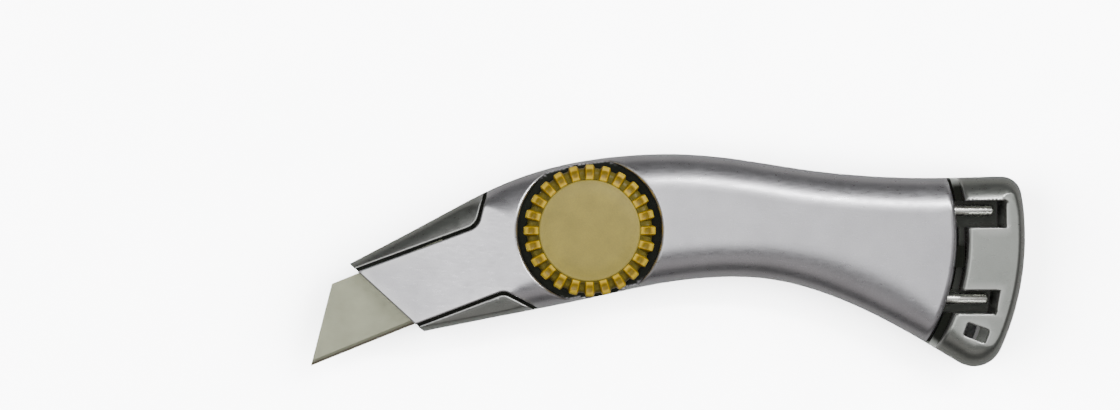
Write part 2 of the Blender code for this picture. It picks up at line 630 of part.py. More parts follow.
def blade_cuts():
    """The blade's shallow seat, open at the front, and the room for the spare blades."""
    slant = (BLADE_LENGTH - BLADE_BACK_LENGTH) / 2
    seat = moved_edges([(-FAR_OUT, 0), (BLADE_LENGTH, 0), (BLADE_LENGTH - slant, BLADE_WIDTH),
                        (-FAR_OUT, BLADE_WIDTH)], BLADE_SIDE_CLEARANCE)
    spare = moved_edges(blade_outline(), BLADE_SIDE_CLEARANCE)
    return [
        helper("cut_blade_seat", prism(turned_about(seat, BLADE_ANGLE, BLADE_TIP), BLADE_FLOOR_Z,
                                       PARTING_Z + SHELL_GAP)),
        helper("cut_spare_blades", prism(turned_about(spare, SPARE_ANGLE, spare_blade_corner()), FLOOR_Z,
                                         FLOOR_Z + SPARE_BLADES * SPARE_PITCH + BLADE_SIDE_CLEARANCE)),
    ]


def make_back_shell():
    shell = piece("back_shell", handle_form(), "silver_casting")
    lid_space = prism(front_shell_area(GROOVE / 2), PARTING_Z, ABOVE_ALL)
    magazine = loft((handle_hollow(WALL_AT_FLOOR, HOLLOW_END_WALL + HOLLOW_END_DRAFT, HOLLOW_START_X), FLOOR_Z),
                    (handle_hollow(WALL_AT_PARTING, HOLLOW_END_WALL, HOLLOW_START_X), PARTING_Z + OVERCUT))
    pin_hole = rod(DOWEL_RADIUS + RUNNING_CLEARANCE, PARTING_Z - DOWEL_DEPTH - RUNNING_CLEARANCE,
                   PARTING_Z + OVERCUT)
    pin_places = {**DOWEL_PLACES, **blade_stops()}
    combine(shell, "DIFFERENCE", helper("cut_front_shell_space", lid_space), *tail_cuts(),
            helper("cut_magazine", magazine), *clamp_cuts(), *blade_cuts(),
            *[helper("cut_" + name, pin_hole, (*place, 0)) for name, place in pin_places.items()])
    post = rod(POST_RADIUS, FLOOR_Z - OVERCUT, POST_TOP_Z)
    combine(shell, "UNION", helper("add_clip_post", post, (*POST_CENTRE, 0)))
    screw_hole = rod(SCREW_RADIUS + RUNNING_CLEARANCE, POST_TOP_Z - SCREW_LENGTH, ABOVE_ALL)
    combine(shell, "DIFFERENCE", helper("cut_screw_hole", screw_hole, (*POST_CENTRE, 0)))


def make_stud():
    head = prism(polygon(HEX_RADIUS, 6), STUD_HEAD_BOTTOM_Z, STUD_HEAD_BOTTOM_Z + STUD_HEAD_HEIGHT)
    stud = piece("clamp_stud", head, "bright_steel")
    shank = rod(STUD_RADIUS, STUD_HEAD_BOTTOM_Z + OVERCUT, STUD_TOP_Z, STUD_CHAMFER, ROUND_STEPS)
    combine(stud, "UNION", helper("add_stud_shank", shank))


def make_fixed_pins():
    for name, place in DOWEL_PLACES.items():
        dowel = rod(DOWEL_RADIUS, PARTING_Z - DOWEL_DEPTH, PARTING_Z + DOWEL_STANDS, PIN_CHAMFER)
        piece(name, dowel, "bright_steel", (*place, 0))
    for name, place in blade_stops().items():
        stop = rod(STOP_RADIUS, PARTING_Z - STOP_DEPTH, PARTING_Z + SHELL_GAP - BLADE_CLEARANCE)
        piece(name, stop, "bright_steel", (*place, 0))


def make_spare_blades():
    for i in range(SPARE_BLADES):
        height = FLOOR_Z + CLAMP_GAP + BLADE_THICKNESS / 2 + i * SPARE_PITCH
        piece(f"spare_blade_{i + 1}", blade_mesh(), "blade_steel", (*spare_blade_corner(), height),
              (0, 0, SPARE_ANGLE))


def make_clip():
    """A strip of spring steel, screwed to its post and bent down onto the spare blades."""
    pad_z = POST_TOP_Z + CLAMP_GAP + CLIP_THICKNESS / 2
    low_z = FLOOR_Z + SPARE_BLADES * SPARE_PITCH + 2 * CLAMP_GAP + CLIP_THICKNESS / 2
    right = POST_CENTRE[0] + CLIP_PAD_END
    left = right - CLIP_LENGTH
    bends = [(right, pad_z), (right - CLIP_PAD, pad_z), (right - CLIP_PAD - CLIP_RAMP, low_z), (left, low_z),
             (left - CLIP_TIP[0], low_z + CLIP_TIP[1])]
    sides = (POST_CENTRE[1] - CLIP_WIDTH / 2, POST_CENTRE[1] + CLIP_WIDTH / 2)
    points = [(x, y, z) for x, z in bends for y in sides]
    faces = [(2 * i, 2 * i + 1, 2 * i + 3, 2 * i + 2) for i in range(len(bends) - 1)]
    clip = piece("magazine_clip", mesh_of(points, faces), "bright_steel")
    wall = clip.modifiers.new("thickness", "SOLIDIFY")
    wall.thickness = CLIP_THICKNESS
    wall.offset = 0
    hole = rod(SCREW_RADIUS + BORE_CLEARANCE, 0, ABOVE_ALL)
    combine(clip, "DIFFERENCE", helper("cut_clip_hole", hole, (*POST_CENTRE, 0)))


def make_clip_screw():
    end_z = POST_TOP_Z - SCREW_LENGTH + SCREW_END_GAP
    head_z = POST_TOP_Z + 2 * CLAMP_GAP + CLIP_THICKNESS
    dome = SCREW_HEAD_RADIUS * SCREW_DOME
    profile = [(0, end_z), (SCREW_RADIUS, end_z), (SCREW_RADIUS, head_z), (SCREW_HEAD_RADIUS, head_z),
               (SCREW_HEAD_RADIUS, head_z + SCREW_HEAD_HEIGHT * SCREW_DOME), (dome, head_z + SCREW_HEAD_HEIGHT),
               (0, head_z + SCREW_HEAD_HEIGHT)]
    piece("clip_screw", turned(profile, 24), "bright_steel", (*POST_CENTRE, 0))


# ================================================================ front shell, which tips about the tail
def front_shell_end_x(y):
    return TAIL_CENTRE[0] + math.sqrt(FRONT_SHELL_END_RADIUS**2 - (y - TAIL_CENTRE[1])**2)


def hinge_pin_start(y):
    return front_shell_end_x(y) - HINGE_PIN_DEPTH


def make_front_shell():
    shell = piece("front_shell", handle_form(), "silver_casting")
    area = prism(front_shell_area(-GROOVE / 2), PARTING_Z + SHELL_GAP, ABOVE_ALL)
    combine(shell, "INTERSECT", helper("keep_front_shell", area))
    roof_z = PARTING_Z + FRONT_RISE - FRONT_ROOF
    hollow = loft((handle_hollow(WALL_AT_PARTING, HOLLOW_END_WALL, HOLLOW_START_X), PARTING_Z - OVERCUT),
                  (handle_hollow(WALL_AT_FLOOR, HOLLOW_END_WALL + HOLLOW_END_DRAFT, HOLLOW_START_X), roof_z))
    nose = prism(rounded_loop([(*p, NOSE_POCKET_CORNER) for p in NOSE_POCKET], 3), PARTING_Z - OVERCUT,
                 PARTING_Z + NOSE_POCKET_DEPTH)
    stud_hole = rod(STUD_RADIUS + TILT_CLEARANCE, 0, ABOVE_ALL, 0, ROUND_STEPS)
    socket = rod(DOWEL_RADIUS + TILT_CLEARANCE, PARTING_Z - OVERCUT, PARTING_Z + DOWEL_STANDS + TILT_CLEARANCE)
    pin_hole = rod(HINGE_PIN_RADIUS + RUNNING_CLEARANCE, -RUNNING_CLEARANCE, HINGE_PIN_DEPTH * 2)
    combine(shell, "DIFFERENCE",
            helper("cut_wheel_well", rod(WHEEL_WELL_RADIUS, WEB_TOP_Z, ABOVE_ALL, 0, 64)),
            helper("cut_stud_clearance", stud_hole), helper("cut_front_hollow", hollow),
            helper("cut_nose_pocket", nose),
            *[helper("cut_socket_" + name, socket, (*place, 0)) for name, place in DOWEL_PLACES.items()],
            *[helper("cut_" + name, pin_hole, (hinge_pin_start(y), y, HINGE_PIN_Z), (0, math.pi / 2, 0))
              for name, (y, _) in HINGE_PINS.items()])
    end_x = TAIL_CENTRE[0] + FRONT_SHELL_END_RADIUS
    tongue = prism(rectangle(end_x - TONGUE_ROOT, end_x + TONGUE_REACH, *TONGUE_Y),
                   PARTING_Z + SHELL_GAP + TONGUE_LIFT, PARTING_Z + SHELL_GAP + TONGUE_THICKNESS)
    combine(shell, "UNION", helper("add_tongue", tongue))
    return shell


def make_hinge_pins():
    pins = []
    for name, (y, end_x) in HINGE_PINS.items():
        start = hinge_pin_start(y)
        pins.append(piece(name, rod(HINGE_PIN_RADIUS, 0, end_x - start, PIN_CHAMFER), "bright_steel",
                          (start, y, HINGE_PIN_Z), (0, math.pi / 2, 0)))
    return pins


# ================================================================ thumbwheel
def ribbed_loop():
    """The outline of the thumbwheel, with ribs that narrow a little outwards."""
    pitch = 2 * math.pi / WHEEL_RIBS
    root = WHEEL_RADIUS - RIB_LENGTH
    half = pitch * RIB_SHARE / 2
    tip = half * RIB_TAPER
    corners = ((root, -half), (WHEEL_RADIUS, -tip), (WHEEL_RADIUS, tip), (root, half))
    return np.array([(radius * math.cos(i * pitch + angle), radius * math.sin(i * pitch + angle))
                     for i in range(WHEEL_RIBS) for radius, angle in corners])


def make_wheel():
    wheel = piece("thumbwheel", prism(ribbed_loop(), WHEEL_Z, WHEEL_TOP_Z), "amber_plastic")
    nut_pocket = prism(polygon(HEX_RADIUS + RUNNING_CLEARANCE, 6), WHEEL_Z - OVERCUT,
                       WHEEL_Z + NUT_HEIGHT + RUNNING_CLEARANCE)
    combine(wheel, "DIFFERENCE", helper("cut_nut_pocket", nut_pocket),
            helper("cut_wheel_bore", rod(STUD_RADIUS + BORE_CLEARANCE, 0, ABOVE_ALL, 0, ROUND_STEPS)),
            helper("cut_cap_seat", rod(CAP_RADIUS + CLAMP_GAP, CAP_Z - CLAMP_GAP, ABOVE_ALL, 0, 48)))
    nut = piece("wheel_nut", prism(polygon(HEX_RADIUS, 6), WHEEL_Z, WHEEL_Z + NUT_HEIGHT), "bright_steel")
    bore = rod(STUD_RADIUS + RUNNING_CLEARANCE, 0, ABOVE_ALL, 0, ROUND_STEPS)
    combine(nut, "DIFFERENCE", helper("cut_nut_bore", bore))
    cap = piece("wheel_cap", rod(CAP_RADIUS, CAP_Z, CAP_Z + CAP_HEIGHT, CAP_EDGE, 48), "frosted_amber")
    return [wheel, nut, cap]


def make_washer():
    bore = STUD_RADIUS + BORE_CLEARANCE
    profile = [(bore, WASHER_Z), (WASHER_RADIUS, WASHER_Z), (WASHER_RADIUS, WASHER_Z + WASHER_THICKNESS),
               (bore, WASHER_Z + WASHER_THICKNESS)]
    return piece("thrust_washer", turned(profile), "bright_steel")


# ================================================================ the whole knife
def main():
    for old in list(bpy.data.objects):
        bpy.data.objects.remove(old)
    make_back_shell()
    make_stud()
    make_fixed_pins()
    make_spare_blades()
    make_clip()
    make_clip_screw()
    hinge = pivot("front_shell_hinge", (TAIL_CENTRE[0] + FRONT_SHELL_END_RADIUS + HINGE_AXIS_OFFSET[0], 0,
                                        PARTING_Z + HINGE_AXIS_OFFSET[1]))
    carry(hinge, make_front_shell(), *make_hinge_pins())
    clamp = pivot("wheel_axis", (0, 0, WHEEL_Z))
    carry(clamp, make_washer(), *make_wheel())
    middle_z = BLADE_FLOOR_Z + BLADE_CLEARANCE + BLADE_THICKNESS / 2
    piece("blade", blade_mesh(), "blade_steel", (*BLADE_TIP, middle_z), (0, 0, BLADE_ANGLE))


if __name__ == "__main__":
    main()
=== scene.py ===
"""Looks for a trimming knife with a two-part cast handle, a ribbed thumbwheel and a trapezoid blade.

The knife lies on its back shell: X runs to the tail, Y to the spine and +Z out of the thumbwheel's side. Sizes
inside this file are in millimetres and are turned to metres where a mesh is written.
"""
import math
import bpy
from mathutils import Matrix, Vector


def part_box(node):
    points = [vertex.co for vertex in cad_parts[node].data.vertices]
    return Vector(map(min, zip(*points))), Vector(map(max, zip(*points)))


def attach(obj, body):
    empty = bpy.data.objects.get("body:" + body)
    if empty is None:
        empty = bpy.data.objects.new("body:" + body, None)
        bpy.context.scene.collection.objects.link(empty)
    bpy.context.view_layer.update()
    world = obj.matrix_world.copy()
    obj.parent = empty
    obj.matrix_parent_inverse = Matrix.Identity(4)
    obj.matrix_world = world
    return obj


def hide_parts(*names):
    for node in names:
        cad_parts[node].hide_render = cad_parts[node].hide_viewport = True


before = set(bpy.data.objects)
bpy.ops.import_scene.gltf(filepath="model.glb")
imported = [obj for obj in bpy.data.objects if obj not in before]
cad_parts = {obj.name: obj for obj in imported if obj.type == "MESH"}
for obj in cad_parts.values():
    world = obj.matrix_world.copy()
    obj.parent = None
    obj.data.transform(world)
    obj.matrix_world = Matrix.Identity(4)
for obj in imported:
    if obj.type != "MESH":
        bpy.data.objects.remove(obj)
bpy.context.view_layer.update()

from types import SimpleNamespace

import bpy
import numpy as np
from bpy.props import FloatProperty, FloatVectorProperty, IntProperty, PointerProperty
from mathutils import Vector, geometry, kdtree

bl_info = {
    "name": "Trimming knife looks",
    "version": (1, 0, 0),
    "blender": (4, 5, 0),
    "location": "View3D > Sidebar > Knife",
    "description": "Builds the fine surfaces, finishes and stage of a trimming knife around its packed model",
    "category": "Object",
}

MM = 0.001


def linear(hex_colour):
    """An sRGB hex colour as linear red, green, blue and 1."""
    parts = [int(hex_colour[i:i + 2], 16) / 255 for i in (0, 2, 4)]
    return (*[c / 12.92 if c <= 0.04045 else ((c + 0.055) / 1.055)**2.4 for c in parts], 1.0)


def box_mm(node):
    """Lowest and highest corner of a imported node, in millimetres."""
    low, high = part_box(node)
    return np.array(low) / MM, np.array(high) / MM


# ------------------------------------------------ the handle's own sizes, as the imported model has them
SPINE_POINTS = np.array([(-82, -17.0), (-66.8, -9.2), (-41.6, 4.1), (-24.9, 12.6), (-8.2, 18.1), (8.4, 20.7),
                         (25.1, 21.3), (41.8, 19.8), (58.4, 17.2), (75.1, 15.4), (91.8, 14.7), (112.5, 15.1)])
BELLY_POINTS = np.array([(-62, -31.2), (-46, -28.1), (-24.9, -23.9), (0, -18.9), (16.8, -15.3), (37, -13.0),
                         (50.1, -13.6), (66.8, -18.0), (83.4, -25.5), (103.4, -37.1)])
FRONT_TOP, FRONT_BOTTOM = np.array((-66.8, -9.2)), np.array((-46.0, -28.1))
TAIL_CENTRE, TAIL_RADIUS = np.array((46.0, -1.8)), 75.2
TAIL_TOP_CORNER, TAIL_TOP_RADIUS = np.array((119.3, 15.1)), 5.5
TAIL_BOTTOM_CORNER, TAIL_BOTTOM_RADIUS = np.array((110.1, -41.1)), 8.0
# How far the front face's rounding reaches in from the outline: x, then the reach.
SPINE_REACH = np.array([(-44, 5.0), (-31, 19.0), (-24, 15.0), (-16, 11.0), (0, 10.0), (98, 10.0), (110, 8.0)])
BELLY_REACH = np.array([(-30, 6.0), (-10, 10.5), (45, 10.5), (75, 14.0), (86, 13.0), (100, 7.0)])
TAIL_REACH, BACK_REACH_SHARE = 2.6, 0.55
PARTING_Z, SIDE_BAND = 11.0, 1.5
FRONT_RISE, BACK_RISE, FRONT_NOSE_RISE, BACK_NOSE_RISE = 10.0, 11.0, 4.6, 4.8
TAPER_START_X = -5.0
GROOVE = 0.9
UPPER_GROOVE = ((-31.2, 1.3), 5.0, 0.3655, 4.0)        # corner, its radius, slopes to the front and the spine
LOWER_GROOVE = ((-23.6, -17.0), 4.0, 0.382, -0.545)
LID_END_RADIUS, TAIL_BLOCK_RADIUS = 56.2, 58.8
LEDGE_Z, POCKET_FLOOR_Z, WINDOW_DEPTH = 13.5, 8.0, 7.0
LID_UNDERSIDE = float(box_mm("front_shell")[0][2])
WELL_RADIUS, WEB_TOP_Z, STUD_HOLE_RADIUS = 20.0, 14.2, 4.6
WELL_BAND, BAND_EDGE, WHEEL_CLEAR_RADIUS = 0.9, 0.25, 18.85
UPPER_POCKET = np.array([(99, 0.9), (116.2, 0.9), (116.2, 8.3), (99, 8.3)])
LOWER_POCKET = np.array([(96, -22.9), (113.4, -22.9), (114.5, -16.5), (96, -16.5)])
POCKET_SLOPE = 2.4                                      # width of a pocket's sloping rear end
WINDOWS = ((57.0, 71.0, -5.4, 9.4), (57.0, 71.0, -21.8, -7.8))    # inner and outer radius, lowest and highest y
LOWER_WINDOW = np.array([(104.4, -32.2), (109.4, -31.4), (111.8, -24.2), (100.6, -24.2)])
CORD_HOLE_CENTRE, CORD_HOLE_SIZE, CORD_HOLE_ANGLE = np.array((105.9, -27.8)), 3.8, math.radians(-20)
CORD_RAMP, CORD_RAMP_Z = 2.6, 18.0
HOLLOW_START_X, HOLLOW_END_RADIUS, HOLLOW_WALL = 24.0, 50.2, 2.6
BOSS_RADIUS, RING_HOLLOW_RADIUS, RING_FLOOR_Z = 10.0, 14.5, 3.0
NOSE_POCKET = np.array([(-46.5, -16.0), (-30.0, -10.5), (-26.5, -4.5), (-33.5, -2.5), (-46.5, -9.0)])
NOSE_POCKET_Z = 14.8
SEAT_Z, SEAT_CLEARANCE = 10.35, 0.3
BLADE_TIP, BLADE_TURN = (-77.6, -37.7), math.radians(22)
BLADE_ROOM = ((-60, 0), (61, 0), (54, 19), (-60, 19))  # about the blade's tip, before it is turned
POST_CENTRE, POST_RADIUS, POST_TOP_Z = (85.5, 3.0), 2.8, 4.6
LID_ROOF, LID_ROOF_Z = 2.4, 18.6                        # the front shell's roof: least thickness, highest z
TONGUE_LENGTH, TONGUE_LOW_Y, TONGUE_HIGH_Y, TONGUE_LOW_Z, TONGUE_HIGH_Z = 2.2, -10.2, -4.2, 11.5, 13.7
MAGAZINE_FLOOR, MAGAZINE_FLOOR_Z = 2.0, 2.4             # the magazine's floor: least thickness, lowest z
OUTLINE_INSET = 0.04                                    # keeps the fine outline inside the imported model's box
FRONT_END_EDGE = 0.5                                    # rounding of the back shell's slanted front end
FLANGE_REACH, FLANGE_POWER = 1.6, 1.3
FLANGE_UPPER_CREST, FLANGE_LOWER_CREST = 0.93, 0.9      # share of the front face's rise
FLANGE_UPPER_FOOT, FLANGE_LOWER_FOOT, FLANGE_FOOT = 0.45, 0.7, 0.4    # shares of the crest, and what is added
FACE_Z = 15.0                                           # height that the camera's distance is taken from
GRID_STEP = 2.0                                         # spacing of a shell's triangles away from its edges


# ================================================================ settings
def millimetres(name, description, size, **limits):
    """A length among the settings, given in millimetres."""
    return FloatProperty(name=name, description=description, default=size * MM, unit="LENGTH", subtype="DISTANCE",
                         **limits)


def paint(name, description, hex_colour):
    """A colour among the settings, given as sRGB hex."""
    return FloatVectorProperty(name=name, description=description, default=linear(hex_colour)[:3],
                               min=0, max=1, subtype="COLOR")


class KnifeHandle(bpy.types.PropertyGroup):
    """Sizes of the handle's edges."""
    groove_edge: millimetres("Groove edge", "Rounding along the nose grooves", 0.45)
    well_edge: millimetres("Well edge", "Rounding of the thumbwheel's recess", 1.0)
    lid_end_edge: millimetres("Lid end", "Rounding of the front shell's rear end", 1.7)
    tail_edge: millimetres("Tail edge", "Bevel along the front of the tail block", 1.3)
    pocket_edge: millimetres("Pocket edge", "Rounding of the tail's pockets", 0.4)
    window_edge: millimetres("Window edge", "Rounding of the far face's windows", 0.6)
    softness: FloatProperty(name="Softness", description="Scales how far the outline's rounding reaches in",
                            default=1.0, min=0.3, max=1.2, subtype="FACTOR")
    step: millimetres("Step", "Spacing of points along an edge", 1.1, min=0.3 * MM)


class KnifeWheel(bpy.types.PropertyGroup):
    """Sizes of the thumbwheel."""
    ribs: IntProperty(name="Ribs", description="Number of ribs round the wheel", default=24, min=6)
    rib_share: FloatProperty(name="Rib width", description="Share of the pitch that a rib takes",
                             default=0.56, min=0.2, max=0.9, subtype="FACTOR")
    gap_depth: millimetres("Gap depth", "How far a gap lies below the ribs", 0.9)
    rib_radius: millimetres("Rib rounding", "Radius of a rib's outer end", 1.4)


class KnifeColours(bpy.types.PropertyGroup):
    """Colours of the finishes."""
    lid_silver: paint("Front shell", "Silver lacquer of the front shell", "C4C3C7")
    # A darker, greener copy of the front shell's silver: painted shade for the back shell's flanges, which look
    # darker where they face away.
    shell_silver_shaded: paint("Back shell", "Silver lacquer of the back shell", "9B9E99")
    blade: paint("Blade", "Oiled steel", "BDBEAF")
    amber: paint("Ribs", "Clear amber plastic", "BF9A22")
    amber_cap: paint("Cap", "Frosted amber plastic", "A4933A")


class KnifeStage(bpy.types.PropertyGroup):
    """The camera's framing."""
    width: millimetres("Framed width", "What the camera takes in", 311.1)
    centre: FloatVectorProperty(name="Centre", description="Middle of the frame", size=2,
                                default=(-8.2 * MM, 7.1 * MM), unit="LENGTH", subtype="XYZ")
    distance: millimetres("Distance", "From the camera to the knife", 1500)


def in_mm(group):
    """A settings group's values, with its lengths in millimetres."""
    values = {}
    for name in type(group).__annotations__:
        value, unit = getattr(group, name), group.bl_rna.properties[name].unit
        if unit == "LENGTH":
            value = np.round(np.array(value) / MM, 4).tolist()
        values[name] = value
    return SimpleNamespace(**values)


# ================================================================ curves in the plan
def curve_through(points):
    """A natural cubic spline y(x): the second derivatives solve the usual three-term system, and between
    two points y is the cubic with those second derivatives."""
    x, y = points.T
    h = np.diff(x)
    inner = np.arange(1, len(x) - 1)
    system = np.eye(len(x))
    system[inner, inner - 1] = h[:-1]
    system[inner, inner] = 2 * (h[:-1] + h[1:])
    system[inner, inner + 1] = h[1:]
    right = np.zeros(len(x))
    right[inner] = 6 * np.diff(np.diff(y) / h)
    bend = np.linalg.solve(system, right)

    def value(at):
        i = np.clip(np.searchsorted(x, at) - 1, 0, len(h) - 1)
        to_next, from_last = x[i + 1] - at, at - x[i]
        return ((bend[i] * to_next**3 + bend[i + 1] * from_last**3) / (6 * h[i])
                + (y[i] / h[i] - bend[i] * h[i] / 6) * to_next
                + (y[i + 1] / h[i] - bend[i + 1] * h[i] / 6) * from_last)
    return value


spine, belly = curve_through(SPINE_POINTS), curve_through(BELLY_POINTS)


def arc(centre, radius, start, end, count):
    a = np.linspace(start, end, count)
    return np.column_stack([centre[0] + radius * np.cos(a), centre[1] + radius * np.sin(a)])


def circle(centre, radius, step=1.0):
    count = max(16, int(2 * math.pi * radius / step))
    return arc(centre, radius, 0, 2 * math.pi * (1 - 1 / count), count)


def tail_arc(radius, low, high, step=1.0):
    """Part of a circle about the tail's centre, between two heights."""
    a0, a1 = (math.asin((y - TAIL_CENTRE[1]) / radius) for y in (low, high))
    return arc(TAIL_CENTRE, radius, a0, a1, max(3, int(radius * (a1 - a0) / step)))


def rounded_loop(corners, count=8):
    """A closed loop of (x, y, radius) corners, where each radius is turned into an arc."""
    places, loop = [np.array(c[:2], float) for c in corners], []
    for i, corner in enumerate(corners):
        here, before, after = places[i], places[i - 1], places[(i + 1) % len(places)]
        if len(corner) < 3 or corner[2] <= 0:
            loop.append(here[None])
            continue
        back, on = ((p - here) / np.linalg.norm(p - here) for p in (before, after))
        half = math.acos(np.clip(back @ on, -1, 1)) / 2
        middle = here + (back + on) / np.linalg.norm(back + on) * corner[2] / math.sin(half)
        first, last = (here + v * corner[2] / math.tan(half) - middle for v in (back, on))
        begin = math.atan2(first[1], first[0])
        turn = math.atan2(first[0] * last[1] - first[1] * last[0], first @ last)
        loop.append(arc(middle, corner[2], begin, begin + turn, count))
    return np.concatenate(loop)


def moved_edges(corners, distance):
    """The polygon with every edge moved outwards by distance, and its corner radii changed to suit."""
    places = np.array([c[:2] for c in corners], float)
    edge = np.roll(places, -1, 0) - places
    edge /= np.linalg.norm(edge, axis=1)[:, None]
    out = np.stack([edge[:, 1], -edge[:, 0]], 1)
    before, turn = np.roll(out, 1, 0), np.roll(edge, 1, 0)
    turn = turn[:, 0] * edge[:, 1] - turn[:, 1] * edge[:, 0]
    moved = places + (before + out) / (1 + (before * out).sum(1))[:, None] * distance
    radii = [max(c[2] + math.copysign(distance, t), 0) if len(c) > 2 else 0 for c, t in zip(corners, turn)]
    return [(*p, r) for p, r in zip(moved.tolist(), radii)]


def turned_about(points, angle, centre):
    """Points turned by angle about the origin, then moved to centre."""
    c, s = math.cos(angle), math.sin(angle)
    return np.asarray(points, float) @ np.array([(c, s), (-s, c)]) + centre


def rectangle(x0, x1, y0, y1):
    return np.array([(x0, y0), (x1, y0), (x1, y1), (x0, y1)], float)


def dense(loop, step, closed=True):
    """The same line with points at most a step apart: each stretch is shared out evenly."""
    ends = np.roll(loop, -1, 0) if closed else loop[1:]
    starts = loop if closed else loop[:-1]
    count = np.maximum(1, np.ceil(np.linalg.norm(ends - starts, axis=1) / step - 1e-6).astype(int))
    which = np.repeat(np.arange(len(starts)), count)
    share = (np.arange(count.sum()) - np.repeat(np.cumsum(count) - count, count)) / count[which]
    line = starts[which] + (ends - starts)[which] * share[:, None]
    return line if closed else np.concatenate([line, loop[-1:]])


def left_normals(loop):
    """Unit normals to the left of a closed loop, which is inwards where it runs counter-clockwise."""
    edge = np.roll(loop, -1, 0) - loop
    edge /= np.linalg.norm(edge, axis=1)[:, None]
    along = edge + np.roll(edge, 1, 0)
    along /= np.linalg.norm(along, axis=1)[:, None]
    return np.column_stack([-along[:, 1], along[:, 0]])


def inside(points, loop):
    """Whether each point is inside the closed loop, by counting the crossings to its right."""
    a, b = loop, np.roll(loop, -1, 0)
    result = np.zeros(len(points), bool)
    for part in np.array_split(np.arange(len(points)), max(1, len(points) * len(loop) // 4_000_000)):
        x, y = points[part].T[..., None]
        spans = (a[:, 1] > y) != (b[:, 1] > y)
        with np.errstate(divide="ignore", invalid="ignore"):
            crossing = a[:, 0] + (y - a[:, 1]) * (b[:, 0] - a[:, 0]) / (b[:, 1] - a[:, 1])
        result[part] = (spans & (x < crossing)).sum(1) % 2 == 1
    return result


def nearest(points, loop):
    """The distance from each point to the closed loop, the loop's left normal there, and that place as an index
    and a share of the way to the next point."""
    a, b = loop, np.roll(loop, -1, 0)
    ab = b - a
    length = (ab**2).sum(1)
    normal = left_normals(loop)
    distance, index, share = np.zeros(len(points)), np.zeros(len(points), int), np.zeros(len(points))
    for part in np.array_split(np.arange(len(points)), max(1, len(points) * len(loop) // 2_000_000)):
        ap = points[part][:, None] - a
        t = np.clip((ap * ab).sum(2) / length, 0, 1)
        square = ((ap - t[..., None] * ab)**2).sum(2)
        k = square.argmin(1)
        row = np.arange(len(part))
        distance[part], index[part], share[part] = np.sqrt(square[row, k]), k, t[row, k]
    after = (index + 1) % len(loop)
    there = normal[index] * (1 - share)[:, None] + normal[after] * share[:, None]
    return distance, there / np.linalg.norm(there, axis=1)[:, None], (index, after, share)


def along(values, place):
    """Values given at a loop's points, read at places on it."""
    index, after, share = place
    share = share.reshape(-1, *[1] * (values.ndim - 1))
    return values[index] * (1 - share) + values[after] * share


def smooth_step(low, high, x):
    t = np.clip((x - low) / (high - low), 0, 1)
    return t * t * (3 - 2 * t)


# ================================================================ the handle's outline and heights
def handle_outline(step):
    """The outline, counter-clockwise, run on past the front end."""
    x_low = np.linspace(BELLY_POINTS[0, 0], 101, int(163 / step))
    x_high = np.linspace(SPINE_POINTS[-1, 0], SPINE_POINTS[0, 0], int(195 / step))
    corners = [(x, y) for x, y in zip(x_low, belly(x_low))] + [(*TAIL_BOTTOM_CORNER, TAIL_BOTTOM_RADIUS)]
    corners += [tuple(p) for p in tail_arc(TAIL_RADIUS - 0.03, -33, 8.5, step)]
    corners += [(*TAIL_TOP_CORNER, TAIL_TOP_RADIUS)] + [(x, y) for x, y in zip(x_high, spine(x_high))]
    return rounded_loop(corners, 15)


def lid_area(grow, step):
    """The front shell's area, moved outwards by grow: its lower groove, its end arc and its upper groove.
    It runs out past the handle's outline on every other side."""
    far = 60.0
    (ux, uy), ur, u_front, u_out = UPPER_GROOVE
    (lx, ly), lr, l_front, l_out = LOWER_GROOVE
    corners = [(lx - far, ly - l_front * far), (lx, ly, lr), (lx + far / 2, ly + l_out * far / 2),
               *[tuple(p) for p in tail_arc(LID_END_RADIUS, -46, 32, 2.0)],
               (ux + far / 2 / u_out, uy + far / 2), (ux, uy, ur), (ux - far, uy - u_front * far)]
    return dense(rounded_loop(moved_edges(corners, grow), 8), step)


def taper(x):
    """0 along the grip, rising to 1 at the front end like a bent beam, and its slope."""
    reach = TAPER_START_X - FRONT_TOP[0]
    t = np.clip((TAPER_START_X - x) / reach, 0, 1.15)
    return t * t * (3 - t) / 2, -(6 * t - 3 * t * t) / 2 / reach


class Outline:
    """The outline and how softly the handle rounds over from it."""

    def __init__(self, settings):
        loop = handle_outline(settings.step)
        self.loop = loop + left_normals(loop) * OUTLINE_INSET
        self.normal = left_normals(self.loop)
        middle = (spine(self.loop[:, 0]) + belly(self.loop[:, 0])) / 2
        reach = np.where(self.loop[:, 1] > middle, np.interp(self.loop[:, 0], *SPINE_REACH.T),
                         np.interp(self.loop[:, 0], *BELLY_REACH.T)) * settings.softness
        at_tail = np.hypot(*(self.loop - TAIL_CENTRE).T) > TAIL_RADIUS - 0.3
        reach = np.where(at_tail, TAIL_REACH, reach)
        for _ in range(12):
            reach = (np.roll(reach, 1) + 2 * reach + np.roll(reach, -1)) / 4
        self.reach = reach

    def rings(self, count=12):
        """Lines parallel to the outline, at reach * (1 - cos a) for even steps of a up to a right angle,
        for the front face and for the far face."""
        angles = np.linspace(0, math.pi / 2, count + 1)[1:]
        return [self.loop + self.normal * (self.reach * share * (1 - math.cos(a)))[:, None]
                for share in (1, BACK_REACH_SHARE) for a in angles]

    def locate(self, points):
        distance, normal, place = nearest(points, self.loop)
        return distance, normal, along(self.reach, place)


def rounded_height(distance, normal, reach, rise, rise_slope):
    """Height above the parting plane, and its gradient: a straight band, then a quarter ellipse from the
    outline to reach, so height = band + (rise - band) * sqrt(1 - (1 - t)^2), with t the distance over the
    reach."""
    t = np.clip(distance / reach, 0, 1)
    s = np.sqrt(np.maximum(1 - (1 - t)**2, 1e-6))
    height = SIDE_BAND + (rise - SIDE_BAND) * s * (t > 0)
    slope = np.where(t < 1, (rise - SIDE_BAND) * (1 - t) / (s * reach), 0)
    gradient = slope[:, None] * normal
    gradient[:, 0] += s * rise_slope
    return height, gradient


